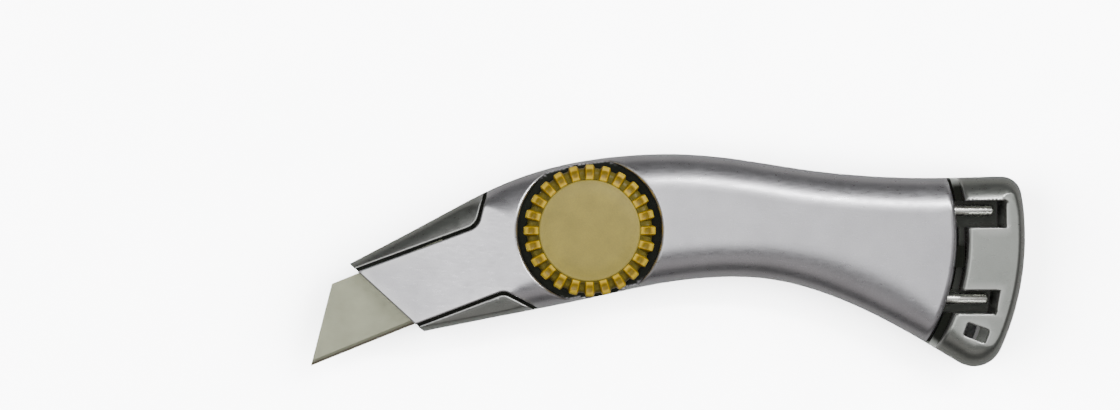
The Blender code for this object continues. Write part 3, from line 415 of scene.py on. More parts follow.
def edge_drop(distance, away, radius, room):
    """How far a rounded edge lies below the face it rounds, and its gradient: radius - sqrt(radius^2 -
    (radius - e)^2) for a distance e under the radius. It fades out where the wall below it has no room."""
    e = np.minimum(distance, radius)
    root = np.sqrt(np.maximum(radius**2 - (radius - e)**2, (0.06 * radius)**2))
    fade = np.clip(room / (3 * radius), 0, 1)
    drop = (radius - np.sqrt(np.maximum(radius**2 - (radius - e)**2, 0))) * fade
    slope = np.where(distance < radius, -(radius - e) / root, 0) * fade
    return drop, slope[:, None] * away


def steepest(*drops):
    """Where several edges round the same place, the one that drops furthest."""
    depth = np.stack([d for d, _ in drops])
    slope = np.stack([g for _, g in drops])
    k, row = depth.argmax(0), np.arange(depth.shape[1])
    return depth[k, row], slope[k, row]


def flat(level):
    """A level face."""
    return lambda points: (np.full(len(points), float(level)), np.zeros((len(points), 2)))


# ================================================================ meshes
def write_piece(name, points, corners, sizes, material, body, slot_name, normals=None, rim=None):
    """A mesh object from points in millimetres, the faces' corners and their sizes, on its body. Normals may be
    given for each corner, and rim is a number for each point that its material reads."""
    mesh = bpy.data.meshes.new(name)
    mesh.vertices.add(len(points))
    mesh.vertices.foreach_set("co", (np.asarray(points) * MM).astype(np.float32).ravel())
    mesh.loops.add(len(corners))
    mesh.loops.foreach_set("vertex_index", corners.astype(np.int32))
    mesh.polygons.add(len(sizes))
    mesh.polygons.foreach_set("loop_start", (np.cumsum(sizes) - sizes).astype(np.int32))
    mesh.update(calc_edges=True)
    mesh.shade_smooth()
    mesh.set_sharp_from_angle(angle=math.radians(35))
    if normals is not None:
        mesh.normals_split_custom_set(normals.tolist())
    layer = mesh.attributes.new("rim", "FLOAT", "POINT")
    layer.data.foreach_set("value", (np.zeros(len(points)) if rim is None else rim).astype(np.float32))
    mesh.materials.append(material)
    made = bpy.data.objects.new(name, mesh)
    bpy.context.scene.collection.objects.link(made)
    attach(made, body)
    return made


def relief(points, triangles, top_of, bottom_of, surfaces):
    """A closed solid between a top face and a bottom face, which both are heights over the plan. Each
    triangle names its top and bottom surface, or -1 for none, and upright walls join the faces where the
    surfaces change. Gives the points, the faces' corners, the faces' sizes and a normal for each corner,
    which is zero on a wall so that Blender works it out."""
    height = np.full((len(surfaces), len(points)), np.nan)
    gradient = np.zeros((len(surfaces), len(points), 2))
    for k, surface in enumerate(surfaces):
        used = np.unique(triangles[(top_of == k) | (bottom_of == k)])
        if len(used):
            height[k, used], gradient[k, used] = surface(points[used])
    solid = top_of >= 0
    tops, bottoms = triangles[solid], triangles[solid][:, ::-1]
    top_k, bottom_k = top_of[solid][:, None], bottom_of[solid][:, None]
    up = np.concatenate([-gradient[top_k, tops], gradient[bottom_k, bottoms]]).reshape(-1, 2)
    normals = np.column_stack([up, np.repeat([1.0, -1.0], len(tops) * 3)])
    normals /= np.linalg.norm(normals, axis=1)[:, None]

    # Each directed edge i -> j belongs to one triangle; the edge j -> i, if there is one, to its neighbour.
    i, j = triangles.ravel(), np.roll(triangles, -1, 1).ravel()
    owner = np.repeat(np.arange(len(triangles)), 3)
    key, twin = i * len(points) + j, j * len(points) + i
    order = np.argsort(key)
    place = np.minimum(np.searchsorted(key[order], twin), len(key) - 1)
    other = np.where(key[order][place] == twin, owner[order][place], -1)
    theirs = (other >= 0) & solid[other]
    differs = ~theirs | (top_of[owner] != top_of[other]) | (bottom_of[owner] != bottom_of[other])
    use = solid[owner] & differs
    ends, owner, other, theirs = np.stack([i, j], 1)[use], owner[use], other[use], theirs[use][:, None]
    high, low = height[top_of[owner][:, None], ends], height[bottom_of[owner][:, None], ends]
    their_high = np.where(theirs, height[top_of[other][:, None], ends], low)
    their_low = np.where(theirs, height[bottom_of[other][:, None], ends], high)
    wall_low = np.concatenate([np.clip(their_high, low, high), low])
    wall_high = np.concatenate([high, np.where(theirs, np.clip(their_low, low, high), low)])
    ends = np.concatenate([ends, ends])
    tall = (wall_high - wall_low).max(1) > 2e-4
    ends, wall_low, wall_high = ends[tall], wall_low[tall], wall_high[tall]

    # Points are welded by place and height. Those above one place follow each other, so that a wall's
    # upright side is a range of them, and every wall that passes a point has it as a corner.
    def level(vertex, z):
        return vertex * 10_000_000 + np.round((z + 50) * 1e4).astype(np.int64)
    flat_keys = np.concatenate([level(tops, height[top_k, tops]), level(bottoms, height[bottom_k, bottoms])])
    low_keys, high_keys = level(ends, wall_low), level(ends, wall_high)
    welded = np.unique(np.concatenate([flat_keys.ravel(), low_keys.ravel(), high_keys.ravel()]))
    placed = np.column_stack([points[welded // 10_000_000], (welded % 10_000_000) / 1e4 - 50])
    faces = np.searchsorted(welded, flat_keys)
    first, last = np.searchsorted(welded, low_keys), np.searchsorted(welded, high_keys)
    rising, falling = last[:, 1] - first[:, 1] + 1, last[:, 0] - first[:, 0] + 1
    counts = np.stack([rising, falling], 1).ravel()
    starts = np.stack([first[:, 1], last[:, 0]], 1).ravel()
    steps = np.arange(counts.sum()) - np.repeat(np.cumsum(counts) - counts, counts)
    signs = np.tile([1, -1], len(ends))
    walls = np.repeat(starts, counts) + np.repeat(signs, counts) * steps
    corners = np.concatenate([faces.ravel(), walls])
    sizes = np.concatenate([np.full(len(faces), 3), rising + falling])
    normals = np.concatenate([normals, np.zeros((len(walls), 3))])
    return placed, corners, sizes, normals


# ================================================================ the plan of a shell
class Plan:
    """Lines that a shell's triangles follow, and the points beside its rounded edges."""

    def __init__(self, settings):
        self.outline, self.window_edge = Outline(settings), settings.window_edge
        self.lines, self.points = [self.outline.loop], self.outline.rings()
        cut = FRONT_BOTTOM - FRONT_TOP
        self.front_out = np.array((cut[1], -cut[0])) / np.linalg.norm(cut)
        front = dense(np.stack([FRONT_TOP - cut * 0.3, FRONT_BOTTOM + cut * 0.3]), 1.2, closed=False)
        self.lines.append(np.concatenate([front, front[::-1] + self.front_out * 4]))
        self.points += [front - self.front_out * e for e in (0.06, 0.2, 0.45)]

    def ahead(self, points):
        """How far points lie behind the slanted front end; negative past it."""
        return -(points - FRONT_TOP) @ self.front_out

    def line(self, loop):
        self.lines.append(loop)

    def edge(self, loop, radius, side):
        """A cut's line, with closer lines beside it where its edge is rounded: even steps of a right angle."""
        self.lines.append(loop)
        normal = left_normals(loop) * side
        for a in np.linspace(0, math.pi / 2, 7)[1:]:
            self.points.append(loop + normal * np.reshape(radius * (1 - math.cos(a)), (-1, 1)))

    def triangulate(self, step):
        loop = self.outline.loop
        extra = np.concatenate(self.points)
        extra = extra[inside(extra, loop) & (self.ahead(extra) > 0)]
        x, y = np.meshgrid(np.arange(-68, 122, step), np.arange(-44, 22, step))
        x[1::2] += step / 2
        grid = np.column_stack([x.ravel(), y.ravel()])
        grid = grid[inside(grid, loop) & (self.ahead(grid) > 0.5)]
        lined = np.concatenate([*self.lines, extra])
        near = nearer_than(step * 0.6, grid, lined)
        extra = extra[~nearer_than(0.04, extra, np.concatenate([dense(line, 0.3) for line in self.lines]))]
        points, edges = [], []
        for line in self.lines:
            first = len(points)
            points += [Vector(p) for p in line.tolist()]
            edges += [(first + i, first + (i + 1) % len(line)) for i in range(len(line))]
        points += [Vector(p) for p in np.concatenate([extra, grid[~near]]).tolist()]
        verts, _, faces, *_ = geometry.delaunay_2d_cdt(points, edges, [], 0, 2e-4, False)
        verts, faces = np.array([tuple(v) for v in verts]), np.array([f for f in faces if len(f) == 3])
        a, b, c = (verts[faces[:, k]] for k in range(3))
        turn = (b - a)[:, 0] * (c - a)[:, 1] - (b - a)[:, 1] * (c - a)[:, 0]
        faces[turn < 0] = faces[turn < 0][:, ::-1]
        return verts, faces[np.abs(turn) > 1e-7]


def nearer_than(distance, points, others):
    """Whether each point is nearer than distance to one of the others."""
    tree = kdtree.KDTree(len(others))
    for i, place in enumerate(others.tolist()):
        tree.insert((*place, 0), i)
    tree.balance()
    return np.array([tree.find((*place, 0))[2] < distance for place in points.tolist()], bool)


def upper(points):
    """Whether points lie nearer the spine than the belly."""
    return points[:, 1] > (spine(points[:, 0]) + belly(points[:, 0])) / 2


def front_form(plan, points, reach_of):
    """The front face's height without its cut edges."""
    distance, normal, reach = plan.outline.locate(points)
    share, slope = taper(points[:, 0])
    fall = FRONT_RISE - FRONT_NOSE_RISE
    height, gradient = rounded_height(distance, normal, reach_of(points, reach), FRONT_RISE - fall * share,
                                      -fall * slope)
    return PARTING_Z + height, gradient


def far_form(plan, points):
    """The far face's height."""
    distance, normal, reach = plan.outline.locate(points)
    share, slope = taper(points[:, 0])
    fall = BACK_RISE - BACK_NOSE_RISE
    height, gradient = rounded_height(distance, normal, reach * BACK_REACH_SHARE, BACK_RISE - fall * share,
                                      -fall * slope)
    height, gradient = PARTING_Z - height, -gradient
    edges = [edge_drop(plan.ahead(points), -plan.front_out, FRONT_END_EDGE, np.full(len(points), 9.0))]
    for loop in far_openings():
        gap, out, _ = nearest(points, loop)
        edges.append(edge_drop(gap, -out, plan.window_edge, PARTING_Z - height))
    depth, slope = steepest(*edges)
    return height + depth, gradient + slope


def far_openings():
    """The windows in the far face."""
    loops = [np.concatenate([tail_arc(outer, low, high), tail_arc(inner, low, high)[::-1]])
             for inner, outer, low, high in WINDOWS]
    return [dense(loop, 1.0) for loop in (*loops, LOWER_WINDOW)]


def hollow_loop(step):
    """The hollow in the grip at the parting plane, a wall inside the outline."""
    def corner(edge, offset):
        x = 90.0
        for _ in range(40):
            y = edge(np.array([x]))[0] + offset
            x = TAIL_CENTRE[0] + math.sqrt(HOLLOW_END_RADIUS**2 - (y - TAIL_CENTRE[1])**2)
        return x, y
    low_end, high_end = corner(belly, HOLLOW_WALL * 1.15), corner(spine, -HOLLOW_WALL)
    x_low = np.linspace(HOLLOW_START_X, low_end[0] - 4.5, 14)
    x_high = np.linspace(high_end[0] - 4.5, HOLLOW_START_X, 14)
    low = [(x, y + HOLLOW_WALL * 1.15) for x, y in zip(x_low, belly(x_low))]
    high = [(x, y - HOLLOW_WALL) for x, y in zip(x_high, spine(x_high))]
    low[0], high[-1] = (*low[0], 3), (*high[-1], 3)
    end = [tuple(p) for p in tail_arc(HOLLOW_END_RADIUS, low_end[1] + 4.5, high_end[1] - 4.5, 3)]
    return dense(rounded_loop([*low, (*low_end, 3), *end, (*high_end, 3), *high], 5), step)


def well_loop(outline, edge_radius):
    """The edge of the thumbwheel's recess: a circle, pulled in to a thin band along the outline where it
    would run out of the side, but never nearer the wheel than its clearance. Returns the loop and each
    point's edge radius."""
    loop = circle((0, 0), WELL_RADIUS)
    inner = outline.loop + outline.normal * WELL_BAND
    pulled = along(inner, nearest(loop, inner)[2])
    size = np.linalg.norm(pulled, axis=1, keepdims=True)
    pulled = pulled * np.clip(WHEEL_CLEAR_RADIUS / size, 1, WELL_RADIUS / size)
    free = inside(loop, inner)
    loop = np.where(free[:, None], loop, pulled)
    return loop, np.where(free, edge_radius, BAND_EDGE)


def radial(points, centre):
    """The distance from a centre and the direction away from it."""
    away = points - centre
    distance = np.hypot(*away.T)
    return distance, away / np.maximum(distance, 1e-6)[:, None]


def rim_of(height, top, distance):
    """1 at a cut's edge, falling away from it and down its wall, and -1 deep inside a recess."""
    # Above 0 the material paints the edge as wear and a painted highlight; below 0 it paints a recess dark as
    # painted shade.
    depth = top - height
    return np.exp(-distance / 0.5) * np.clip(1 - depth / 1.2, 0, 1) - np.clip((depth - 1.2) / 2.2, 0, 1)


def far_side(plan, placed):
    """Whether points belong to the far face or the sides, outside every recess."""
    return placed[:, 2] < far_form(plan, placed[:, :2])[0] + 0.3


# ================================================================ front shell
def lid_reach(points, reach):
    """The rounding's reach shrinks past the grooves' corners, so that the nose is flat out to its grooves."""
    x = points[:, 0]
    flat_share = np.where(upper(points), 1 - smooth_step(-50, -34, x), 1 - smooth_step(-34, -18, x))
    return reach * (1 - flat_share) + 1.5 * flat_share


def make_lid(settings, material):
    """The front shell: front_form less the drop of its rounded edges, over the area between the nose
    grooves and the end arc, with the thumbwheel's recess sunk to the web."""
    plan = Plan(settings)
    area = lid_area(-GROOVE / 2, settings.step)
    at_end = np.hypot(*(area - TAIL_CENTRE).T) < LID_END_RADIUS + 0.1
    edge_radius = np.where(at_end & (area[:, 0] > 60), settings.lid_end_edge, settings.groove_edge)
    well, well_radius = well_loop(plan.outline, settings.well_edge)
    stud = circle((0, 0), STUD_HOLE_RADIUS, 0.8)
    hollow = hollow_loop(settings.step)
    nose = dense(rounded_loop([(*p, 1.5) for p in NOSE_POCKET], 4), settings.step)
    end_x = TAIL_CENTRE[0] + LID_END_RADIUS
    tongue = dense(rectangle(end_x - 3, end_x + TONGUE_LENGTH, TONGUE_LOW_Y, TONGUE_HIGH_Y), settings.step)
    plan.edge(area, edge_radius, 1)
    plan.edge(well, well_radius, -1)
    for loop in (stud, hollow, nose, tongue):
        plan.line(loop)

    def form(points):
        height, gradient = front_form(plan, points, lid_reach)
        room = height - LID_UNDERSIDE
        from_cut, inwards, cut_place = nearest(points, area)
        from_well, away, well_place = nearest(points, well)
        depth, slope = steepest(
            edge_drop(from_cut, inwards, along(edge_radius, cut_place), room),
            edge_drop(plan.ahead(points), -plan.front_out, settings.groove_edge, room),
            edge_drop(from_well, -away, along(well_radius, well_place), height - WEB_TOP_Z))
        return height - depth, gradient - slope

    def web(points):
        height, gradient = form(points)
        low = height < WEB_TOP_Z
        return np.minimum(height, WEB_TOP_Z), np.where(low[:, None], gradient, 0)

    def roof(points):
        height, gradient = front_form(plan, points, lid_reach)
        return np.clip(height - LID_ROOF, LID_UNDERSIDE, LID_ROOF_Z), np.zeros_like(gradient)

    points, triangles = plan.triangulate(GRID_STEP)
    middle = points[triangles].mean(1)
    body = inside(middle, plan.outline.loop) & (plan.ahead(middle) > 0) & inside(middle, area)
    from_wheel = radial(middle, (0, 0))[0]
    top = np.where(body, 0, -1)
    top[body & inside(middle, well)] = 1
    top[inside(middle, stud)] = -1
    in_tongue = inside(middle, tongue) & ~inside(middle, area)
    top[in_tongue] = 2
    bottom = np.where(top >= 0, 3, -1)
    bottom[(top >= 0) & inside(middle, hollow) & (from_wheel > WELL_RADIUS + 2)] = 4
    bottom[(top >= 0) & inside(middle, nose)] = 5
    bottom[in_tongue] = 6
    surfaces = [form, web, flat(TONGUE_HIGH_Z), flat(LID_UNDERSIDE), roof, flat(NOSE_POCKET_Z),
                flat(TONGUE_LOW_Z)]
    placed, corners, sizes, normals = relief(points, triangles, top, bottom, surfaces)
    plain = front_form(plan, placed[:, :2], lid_reach)[0]
    from_well = nearest(placed[:, :2], well)[0]
    edge = np.minimum(nearest(placed[:, :2], area)[0], from_well)
    rim = rim_of(placed[:, 2], plain, np.minimum(edge, np.abs(plan.ahead(placed[:, :2]))))
    # The thumbwheel's recess is set to -1: painted near black, a painted shade under the wheel.
    in_well = inside(placed[:, :2], well) & (from_well > 0.05) & (placed[:, 2] > LID_UNDERSIDE + 0.1)
    rim[in_well] = -1.0
    shell = write_piece("lid_casting", placed, corners, sizes, material, "lid", "silver_casting",
                        normals, rim)
    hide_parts("front_shell")


# ================================================================ back shell
def make_back_casting(settings, material):
    """The back shell: the far face below; above it the parting face under the front shell, the two flanges
    beside the nose and the tail block with its pockets."""
    plan = Plan(settings)
    step = settings.step
    space = lid_area(GROOVE / 2, step)
    seat_shape = moved_edges(BLADE_ROOM, SEAT_CLEARANCE)
    seat = dense(turned_about([c[:2] for c in seat_shape], BLADE_TURN, BLADE_TIP), GRID_STEP)
    hollow = hollow_loop(step)
    ring_out, ring_in = circle((0, 0), RING_HOLLOW_RADIUS), circle((0, 0), BOSS_RADIUS)
    post = circle(POST_CENTRE, POST_RADIUS, 0.8)
    low_y, high_y = LOWER_POCKET[0][1], UPPER_POCKET[2][1]
    bay = dense(np.concatenate([tail_arc(TAIL_BLOCK_RADIUS, low_y, high_y),
                                tail_arc(LID_END_RADIUS + GROOVE / 2, low_y, high_y)[::-1]]), step)
    groove = dense(np.concatenate([tail_arc(TAIL_BLOCK_RADIUS, -51.7, 39.3),
                                   tail_arc(LID_END_RADIUS - 1, -51.7, 39.3)[::-1]]), step)
    pockets, floors = [], []
    for loop in (UPPER_POCKET, LOWER_POCKET):
        behind = loop[:, 0] > loop[:, 0].mean()
        pockets.append(dense(loop - np.where(behind[:, None], (0.9, 0), 0), step))
        floors.append(dense(loop - np.where(behind[:, None], (POCKET_SLOPE, 0), 0), step))
    half = CORD_HOLE_SIZE / 2
    hole_corners = [(-half, -half, .5), (half, -half, .5), (half, half, .5), (-half, half, .5)]
    ramp_corners = [(0, -half, 0), (half + CORD_RAMP, -half, .7), (half + CORD_RAMP, half, .7), (0, half, 0)]
    cord, cord_ramp = (dense(turned_about(rounded_loop(corners, 4), CORD_HOLE_ANGLE, CORD_HOLE_CENTRE), step)
                       for corners in (hole_corners, ramp_corners))
    windows = far_openings()
    plan.edge(space, settings.groove_edge, -1)
    plan.edge(groove, settings.tail_edge, -1)
    for loop in (*pockets, cord, cord_ramp):
        plan.edge(loop, settings.pocket_edge, -1)
    for loop in windows:
        plan.edge(loop, settings.window_edge, -1)
    for loop in (seat, hollow, ring_out, ring_in, post, bay, *floors):
        plan.line(loop)

    def block(points):
        """The tail block, and the flanges: with d and e the distances to the outline and to the groove, a
        flange's height is a small rounded edge and then (crest - foot) * (1 - (e / (d + e))^power)."""
        height, gradient = front_form(plan, points, lambda p, reach: reach)
        distance, inwards, _ = plan.outline.locate(points)
        from_groove, away, _ = nearest(points, space)
        near_nose = points[:, 0] < 10
        total = np.maximum(distance + from_groove, 1e-3)
        left = 1 - distance / total
        front_rise = FRONT_RISE - (FRONT_RISE - FRONT_NOSE_RISE) * taper(points[:, 0])[0]
        crest = front_rise * np.where(upper(points), FLANGE_UPPER_CREST, FLANGE_LOWER_CREST)
        foot = np.where(upper(points), FLANGE_UPPER_FOOT, FLANGE_LOWER_FOOT) * crest + FLANGE_FOOT
        climb, climb_slope = rounded_height(distance, inwards, np.full(len(points), FLANGE_REACH), foot, 0.0)
        sloped = PARTING_Z + climb + (crest - foot) * (1 - left**FLANGE_POWER)
        share_slope = (inwards * from_groove[:, None] + away * distance[:, None]) / total[:, None]**2
        steep = (crest - foot) * FLANGE_POWER * left**(FLANGE_POWER - 1)
        height = np.where(near_nose, sloped, height)
        gradient = np.where(near_nose[:, None], steep[:, None] * share_slope + climb_slope, gradient)
        radius, outwards = radial(points, TAIL_CENTRE)
        from_tail = np.where(near_nose, 99, np.maximum(radius - TAIL_BLOCK_RADIUS, 0))
        edges = [edge_drop(from_groove, -away, settings.groove_edge, height - PARTING_Z),
                 edge_drop(plan.ahead(points), -plan.front_out, FRONT_END_EDGE, height - PARTING_Z),
                 edge_drop(from_tail, outwards, settings.tail_edge, height - LEDGE_Z)]
        for loop in (*pockets, cord, cord_ramp):
            gap, out, _ = nearest(points, loop)
            edges.append(edge_drop(gap, -out, settings.pocket_edge, height - POCKET_FLOOR_Z))
        depth, drop_slope = steepest(*edges)
        return height - depth, gradient - drop_slope

    def under(level):
        """A level floor, or the block's own height where that is lower."""
        def surface(points):
            height, gradient = block(points)
            low = height < level
            return np.minimum(height, level), np.where(low[:, None], gradient, 0)
        return surface

    def wall_end(points):
        """The pockets' sloping rear ends: the height rises with the share of the way from floor to rim."""
        height, gradient = block(points)
        (low_x, low_y), (high_x, high_y) = LOWER_POCKET[1:3]
        lower_end = low_x + (points[:, 1] - low_y) * (high_x - low_x) / (high_y - low_y)
        floor_at = np.where(points[:, 1] > -8, UPPER_POCKET[1, 0], lower_end) - POCKET_SLOPE
        rise = 10.0
        slope_z = POCKET_FLOOR_Z + np.maximum(points[:, 0] - floor_at, 0) * rise
        low = slope_z < height
        return np.minimum(slope_z, height), np.where(low[:, None], np.array((rise, 0)), gradient)

    def magazine_floor(points):
        """The far face's height and the floor's thickness, but no lower than the floor's level part."""
        height, gradient = far_form(plan, points)
        height = height + MAGAZINE_FLOOR
        return np.maximum(height, MAGAZINE_FLOOR_Z), np.where((height > MAGAZINE_FLOOR_Z)[:, None], gradient, 0)

    points, triangles = plan.triangulate(GRID_STEP)
    middle = points[triangles].mean(1)
    body = inside(middle, plan.outline.loop) & (plan.ahead(middle) > 0)
    in_space = body & inside(middle, space)
    top = np.where(body, 0, -1)
    for k, where in ((1, inside(middle, groove) & (middle[:, 0] > 60)), (2, in_space),
                     (3, in_space & inside(middle, seat)),
                     (4, inside(middle, ring_out) & ~inside(middle, ring_in)), (5, inside(middle, hollow)),
                     (6, inside(middle, post)), (7, inside(middle, bay)),
                     (8, inside(middle, pockets[0]) | inside(middle, pockets[1])),
                     (7, inside(middle, floors[0]) | inside(middle, floors[1])),
                     (9, inside(middle, cord_ramp))):
        top[body & where] = k
    bottom = np.where(top >= 0, 10, -1)
    in_window = np.zeros(len(middle), bool)
    for loop in windows:
        in_window |= inside(middle, loop)
    bottom[body & in_window] = 11
    through = inside(middle, cord)
    top[through], bottom[through] = -1, -1
    surfaces = [block, under(LEDGE_Z), flat(PARTING_Z), flat(SEAT_Z), flat(RING_FLOOR_Z), magazine_floor,
                flat(POST_TOP_Z), flat(POCKET_FLOOR_Z), wall_end, under(CORD_RAMP_Z),
                lambda p: far_form(plan, p), flat(WINDOW_DEPTH)]
    placed, corners, sizes, normals = relief(points, triangles, top, bottom, surfaces)
    flat_points = placed[:, :2]
    edge = nearest(flat_points, space)[0]
    for loop in (*pockets, cord, cord_ramp):
        edge = np.minimum(edge, nearest(flat_points, loop)[0])
    edge = np.minimum(edge, np.abs(radial(flat_points, TAIL_CENTRE)[0] - TAIL_BLOCK_RADIUS))
    # What lies lower than the side band is painted dark inside the shell, a painted shade, unless it belongs to
    # the far face.
    rim = np.where(placed[:, 2] > 9.6, rim_of(placed[:, 2], block(flat_points)[0], edge), -0.9)
    rim = np.where(far_side(plan, placed), 0, rim)
    shell = write_piece("back_casting", placed, corners, sizes, material, "handle", "silver_casting",
                        normals, rim)
    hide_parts("back_shell")


# ================================================================ thumbwheel, its cap and the hinge pins
def swept(profiles, angles, closed_profile):
    """Points and quads of a profile carried round an axis: profiles has radius and height for each angle."""
    around, levels = profiles.shape[:2]
    radius, height = profiles[..., 0], profiles[..., 1]
    x, y = radius * np.cos(angles)[:, None], radius * np.sin(angles)[:, None]
    points = np.stack([x, y, height], -1).reshape(-1, 3)
    i, k = np.meshgrid(np.arange(around), np.arange(levels if closed_profile else levels - 1), indexing="ij")
    after, up = (i + 1) % around, (k + 1) % levels
    quads = np.stack([i * levels + k, after * levels + k, after * levels + up, i * levels + up],
                     -1).reshape(-1, 4)
    return points, quads


def turned_solid(profile, count, low, high):
    """A profile of radius and height carried round an axis, closed by a fan of triangles to the heights low
    and high on the axis. Gives the points, the faces' corners and their sizes."""
    angles = np.arange(count) * 2 * math.pi / count
    points, quads = swept(np.tile(profile, (count, 1, 1)), angles, False)
    points = np.concatenate([points, [(0, 0, low), (0, 0, high)]])
    i = np.arange(count)
    after, levels = (i + 1) % count, len(profile)
    fans = np.concatenate([np.stack([after * levels, i * levels, np.full(count, count * levels)], 1),
                           np.stack([i * levels + levels - 1, after * levels + levels - 1,
                                     np.full(count, count * levels + 1)], 1)])
    return (points, np.concatenate([quads.ravel(), fans.ravel()]),
            np.concatenate([np.full(len(quads), 4), np.full(len(fans), 3)]))


def make_thumbwheel(settings, material):
    """The ribbed ring: at each angle its profile is a mix of a rib's and a gap's, by a smooth bump across each
    rib's share of the pitch. A rib's top has a shallow dish between its raised ends."""
    low, high = box_mm("thumbwheel")
    base, top = float(low[2]), float(high[2])
    outer = float(high[0]) + 0.02
    seat_z, seat_r, bore = 21.85, 14.15, 7.8
    count = settings.ribs * 20
    angles = np.arange(count) * 2 * math.pi / count
    phase = (angles * settings.ribs / (2 * math.pi) + 0.5) % 1 - 0.5
    half, flank = settings.rib_share / 2, 0.09
    rib = 1 - smooth_step(half - flank, half + flank, np.abs(phase))
    f = settings.rib_radius
    bend = np.linspace(0, math.pi / 2, 7)
    ribs = np.array([(bore, base + 0.3), (bore, seat_z), (seat_r, seat_z), (seat_r, top - 0.25),
                     (14.35, top - 0.05), (14.7, top), (15.1, top), (15.6, top), (16.1, top), (16.6, top),
                     *[(outer - f + f * math.sin(a), top - f + f * math.cos(a)) for a in bend],
                     (outer - 0.05, (base + top) / 2), (outer - 0.15, base + 0.6), (outer - 0.7, base),
                     (12.0, base), (bore + 0.3, base)])
    gap_r = outer - settings.gap_depth
    sunk = np.array([(bore, base + 0.3), (bore, seat_z), (seat_r, seat_z), (seat_r, top - 0.25),
                     (14.35, top - 0.1), (14.55, top - 0.3), (14.7, top - 0.6), (14.95, top - 0.9),
                     (15.3, top - 1.15), (15.7, top - 1.4),
                     *[(15.9 + (gap_r - 15.9) * math.sin(t), top - 3.6 + 2.1 * math.cos(t)) for t in
                     bend], (gap_r + 0.03, base + 1.4), (gap_r + 0.03, base + 0.6), (gap_r - 0.3, base),
                     (12.0, base), (bore + 0.3, base)])
    profiles = sunk + (ribs - sunk) * rib[:, None, None]
    across = np.clip(1 - (np.abs(phase) / (half * 0.9))**4, 0, 1)
    dish_depth, dish_at, dish_width = 0.4, 16.0, 0.75
    inwards = np.exp(-((ribs[:, 0] - dish_at) / dish_width)**2) * (ribs[:, 1] > top - 0.3)
    profiles[..., 1] -= dish_depth * across[:, None] * inwards
    points, quads = swept(profiles, angles, True)
    # Painted highlight on each rib's ends and borders, deeper in its dish, and painted shade (0) in the gaps;
    # clear_amber reads it as rim.
    bright = rib[:, None] * (0.3 + 0.7 * (1 - across[:, None] * np.exp(-((ribs[:, 0] - 16.1) / 1.1)**4)))
    made = write_piece("thumbwheel_ribbed", points, quads[:, ::-1].ravel(), np.full(len(quads), 4), material,
                       "wheel", "amber_plastic", rim=bright.ravel())
    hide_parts("thumbwheel")


def make_cap(material):
    """The cap: a disc whose profile has a rounded edge, a fine step inside it and a very slight dome."""
    low, high = box_mm("wheel_cap")
    radius, base, top = float(high[0]), float(low[2]), float(high[2])
    f = 0.55
    bend = np.linspace(0, math.pi / 2, 7)
    profile = np.array([(radius - 0.3, base), (radius, base + 0.3),
                        *[(radius - f + f * math.cos(a), top - 0.25 - f + f * math.sin(a)) for a in bend],
                        (12.9, top - 0.27), (12.6, top - 0.2), (9.5, top - 0.12), (6.0, top - 0.05),
                        (2.5, top - 0.01)])
    made = write_piece("wheel_cap_frosted", *turned_solid(profile, 128, base, top), material, "wheel",
                       "frosted_amber")
    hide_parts("wheel_cap")


def make_hinge_pin(node, material):
    """A ground pin along X: a straight profile with rounded ends, carried round its axis."""
    low, high = box_mm(node)
    radius = (high[2] - low[2]) / 2
    f = 0.75
    bend = np.linspace(0, math.pi / 2, 6)
    start = [(radius - f + f * math.sin(a), f - f * math.cos(a)) for a in bend]
    length = high[0] - low[0]
    end = [(radius - f + f * math.cos(a), length - f + f * math.sin(a)) for a in bend]
    points, corners, sizes = turned_solid(np.array([*start, *end]), 32, 0, length)
    placed = np.column_stack([points[:, 2] + low[0], points[:, 0] + (low[1] + high[1]) / 2,
                              points[:, 1] + (low[2] + high[2]) / 2])
    made = write_piece(node + "_ground", placed, corners, sizes, material, "lid", "bright_steel")
    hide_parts(node)


# ================================================================ finishes
def add(tree, kind, settings=None, inputs=None, **links):
    """A node with its settings, its inputs' values and links to its inputs, named with _ for a space."""
    made = tree.nodes.new(kind)
    for name, value in (settings or {}).items():
        setattr(made, name, value)
    for name, value in (inputs or {}).items():
        made.inputs[name].default_value = value
    for name, socket in links.items():
        tree.links.new(socket, made.inputs[int(name[1:]) if name[1:].isdigit() else name.replace("_", " ")])
    return made


def new_finish(name):
    made = bpy.data.materials.new(name)
    made.use_nodes = True
    made.node_tree.nodes.clear()
    return made, made.node_tree


def ramp(tree, source, stops):
    """A colour ramp with its stops, as (place, linear colour)."""
    made = add(tree, "ShaderNodeValToRGB", k0=source)
    elements = made.color_ramp.elements
    while len(elements) > 1:
        elements.remove(elements[-1])
    for i, (place, colour) in enumerate(stops):
        element = elements[0] if i == 0 else elements.new(place)
        element.position, element.color = place, colour
    return made


def shade(colour, factor=1.0):
    """A lighter or darker shade of a linear colour, for a pattern's two ends."""
    return (*[min(1.0, c * factor) for c in colour[:3]], 1.0)


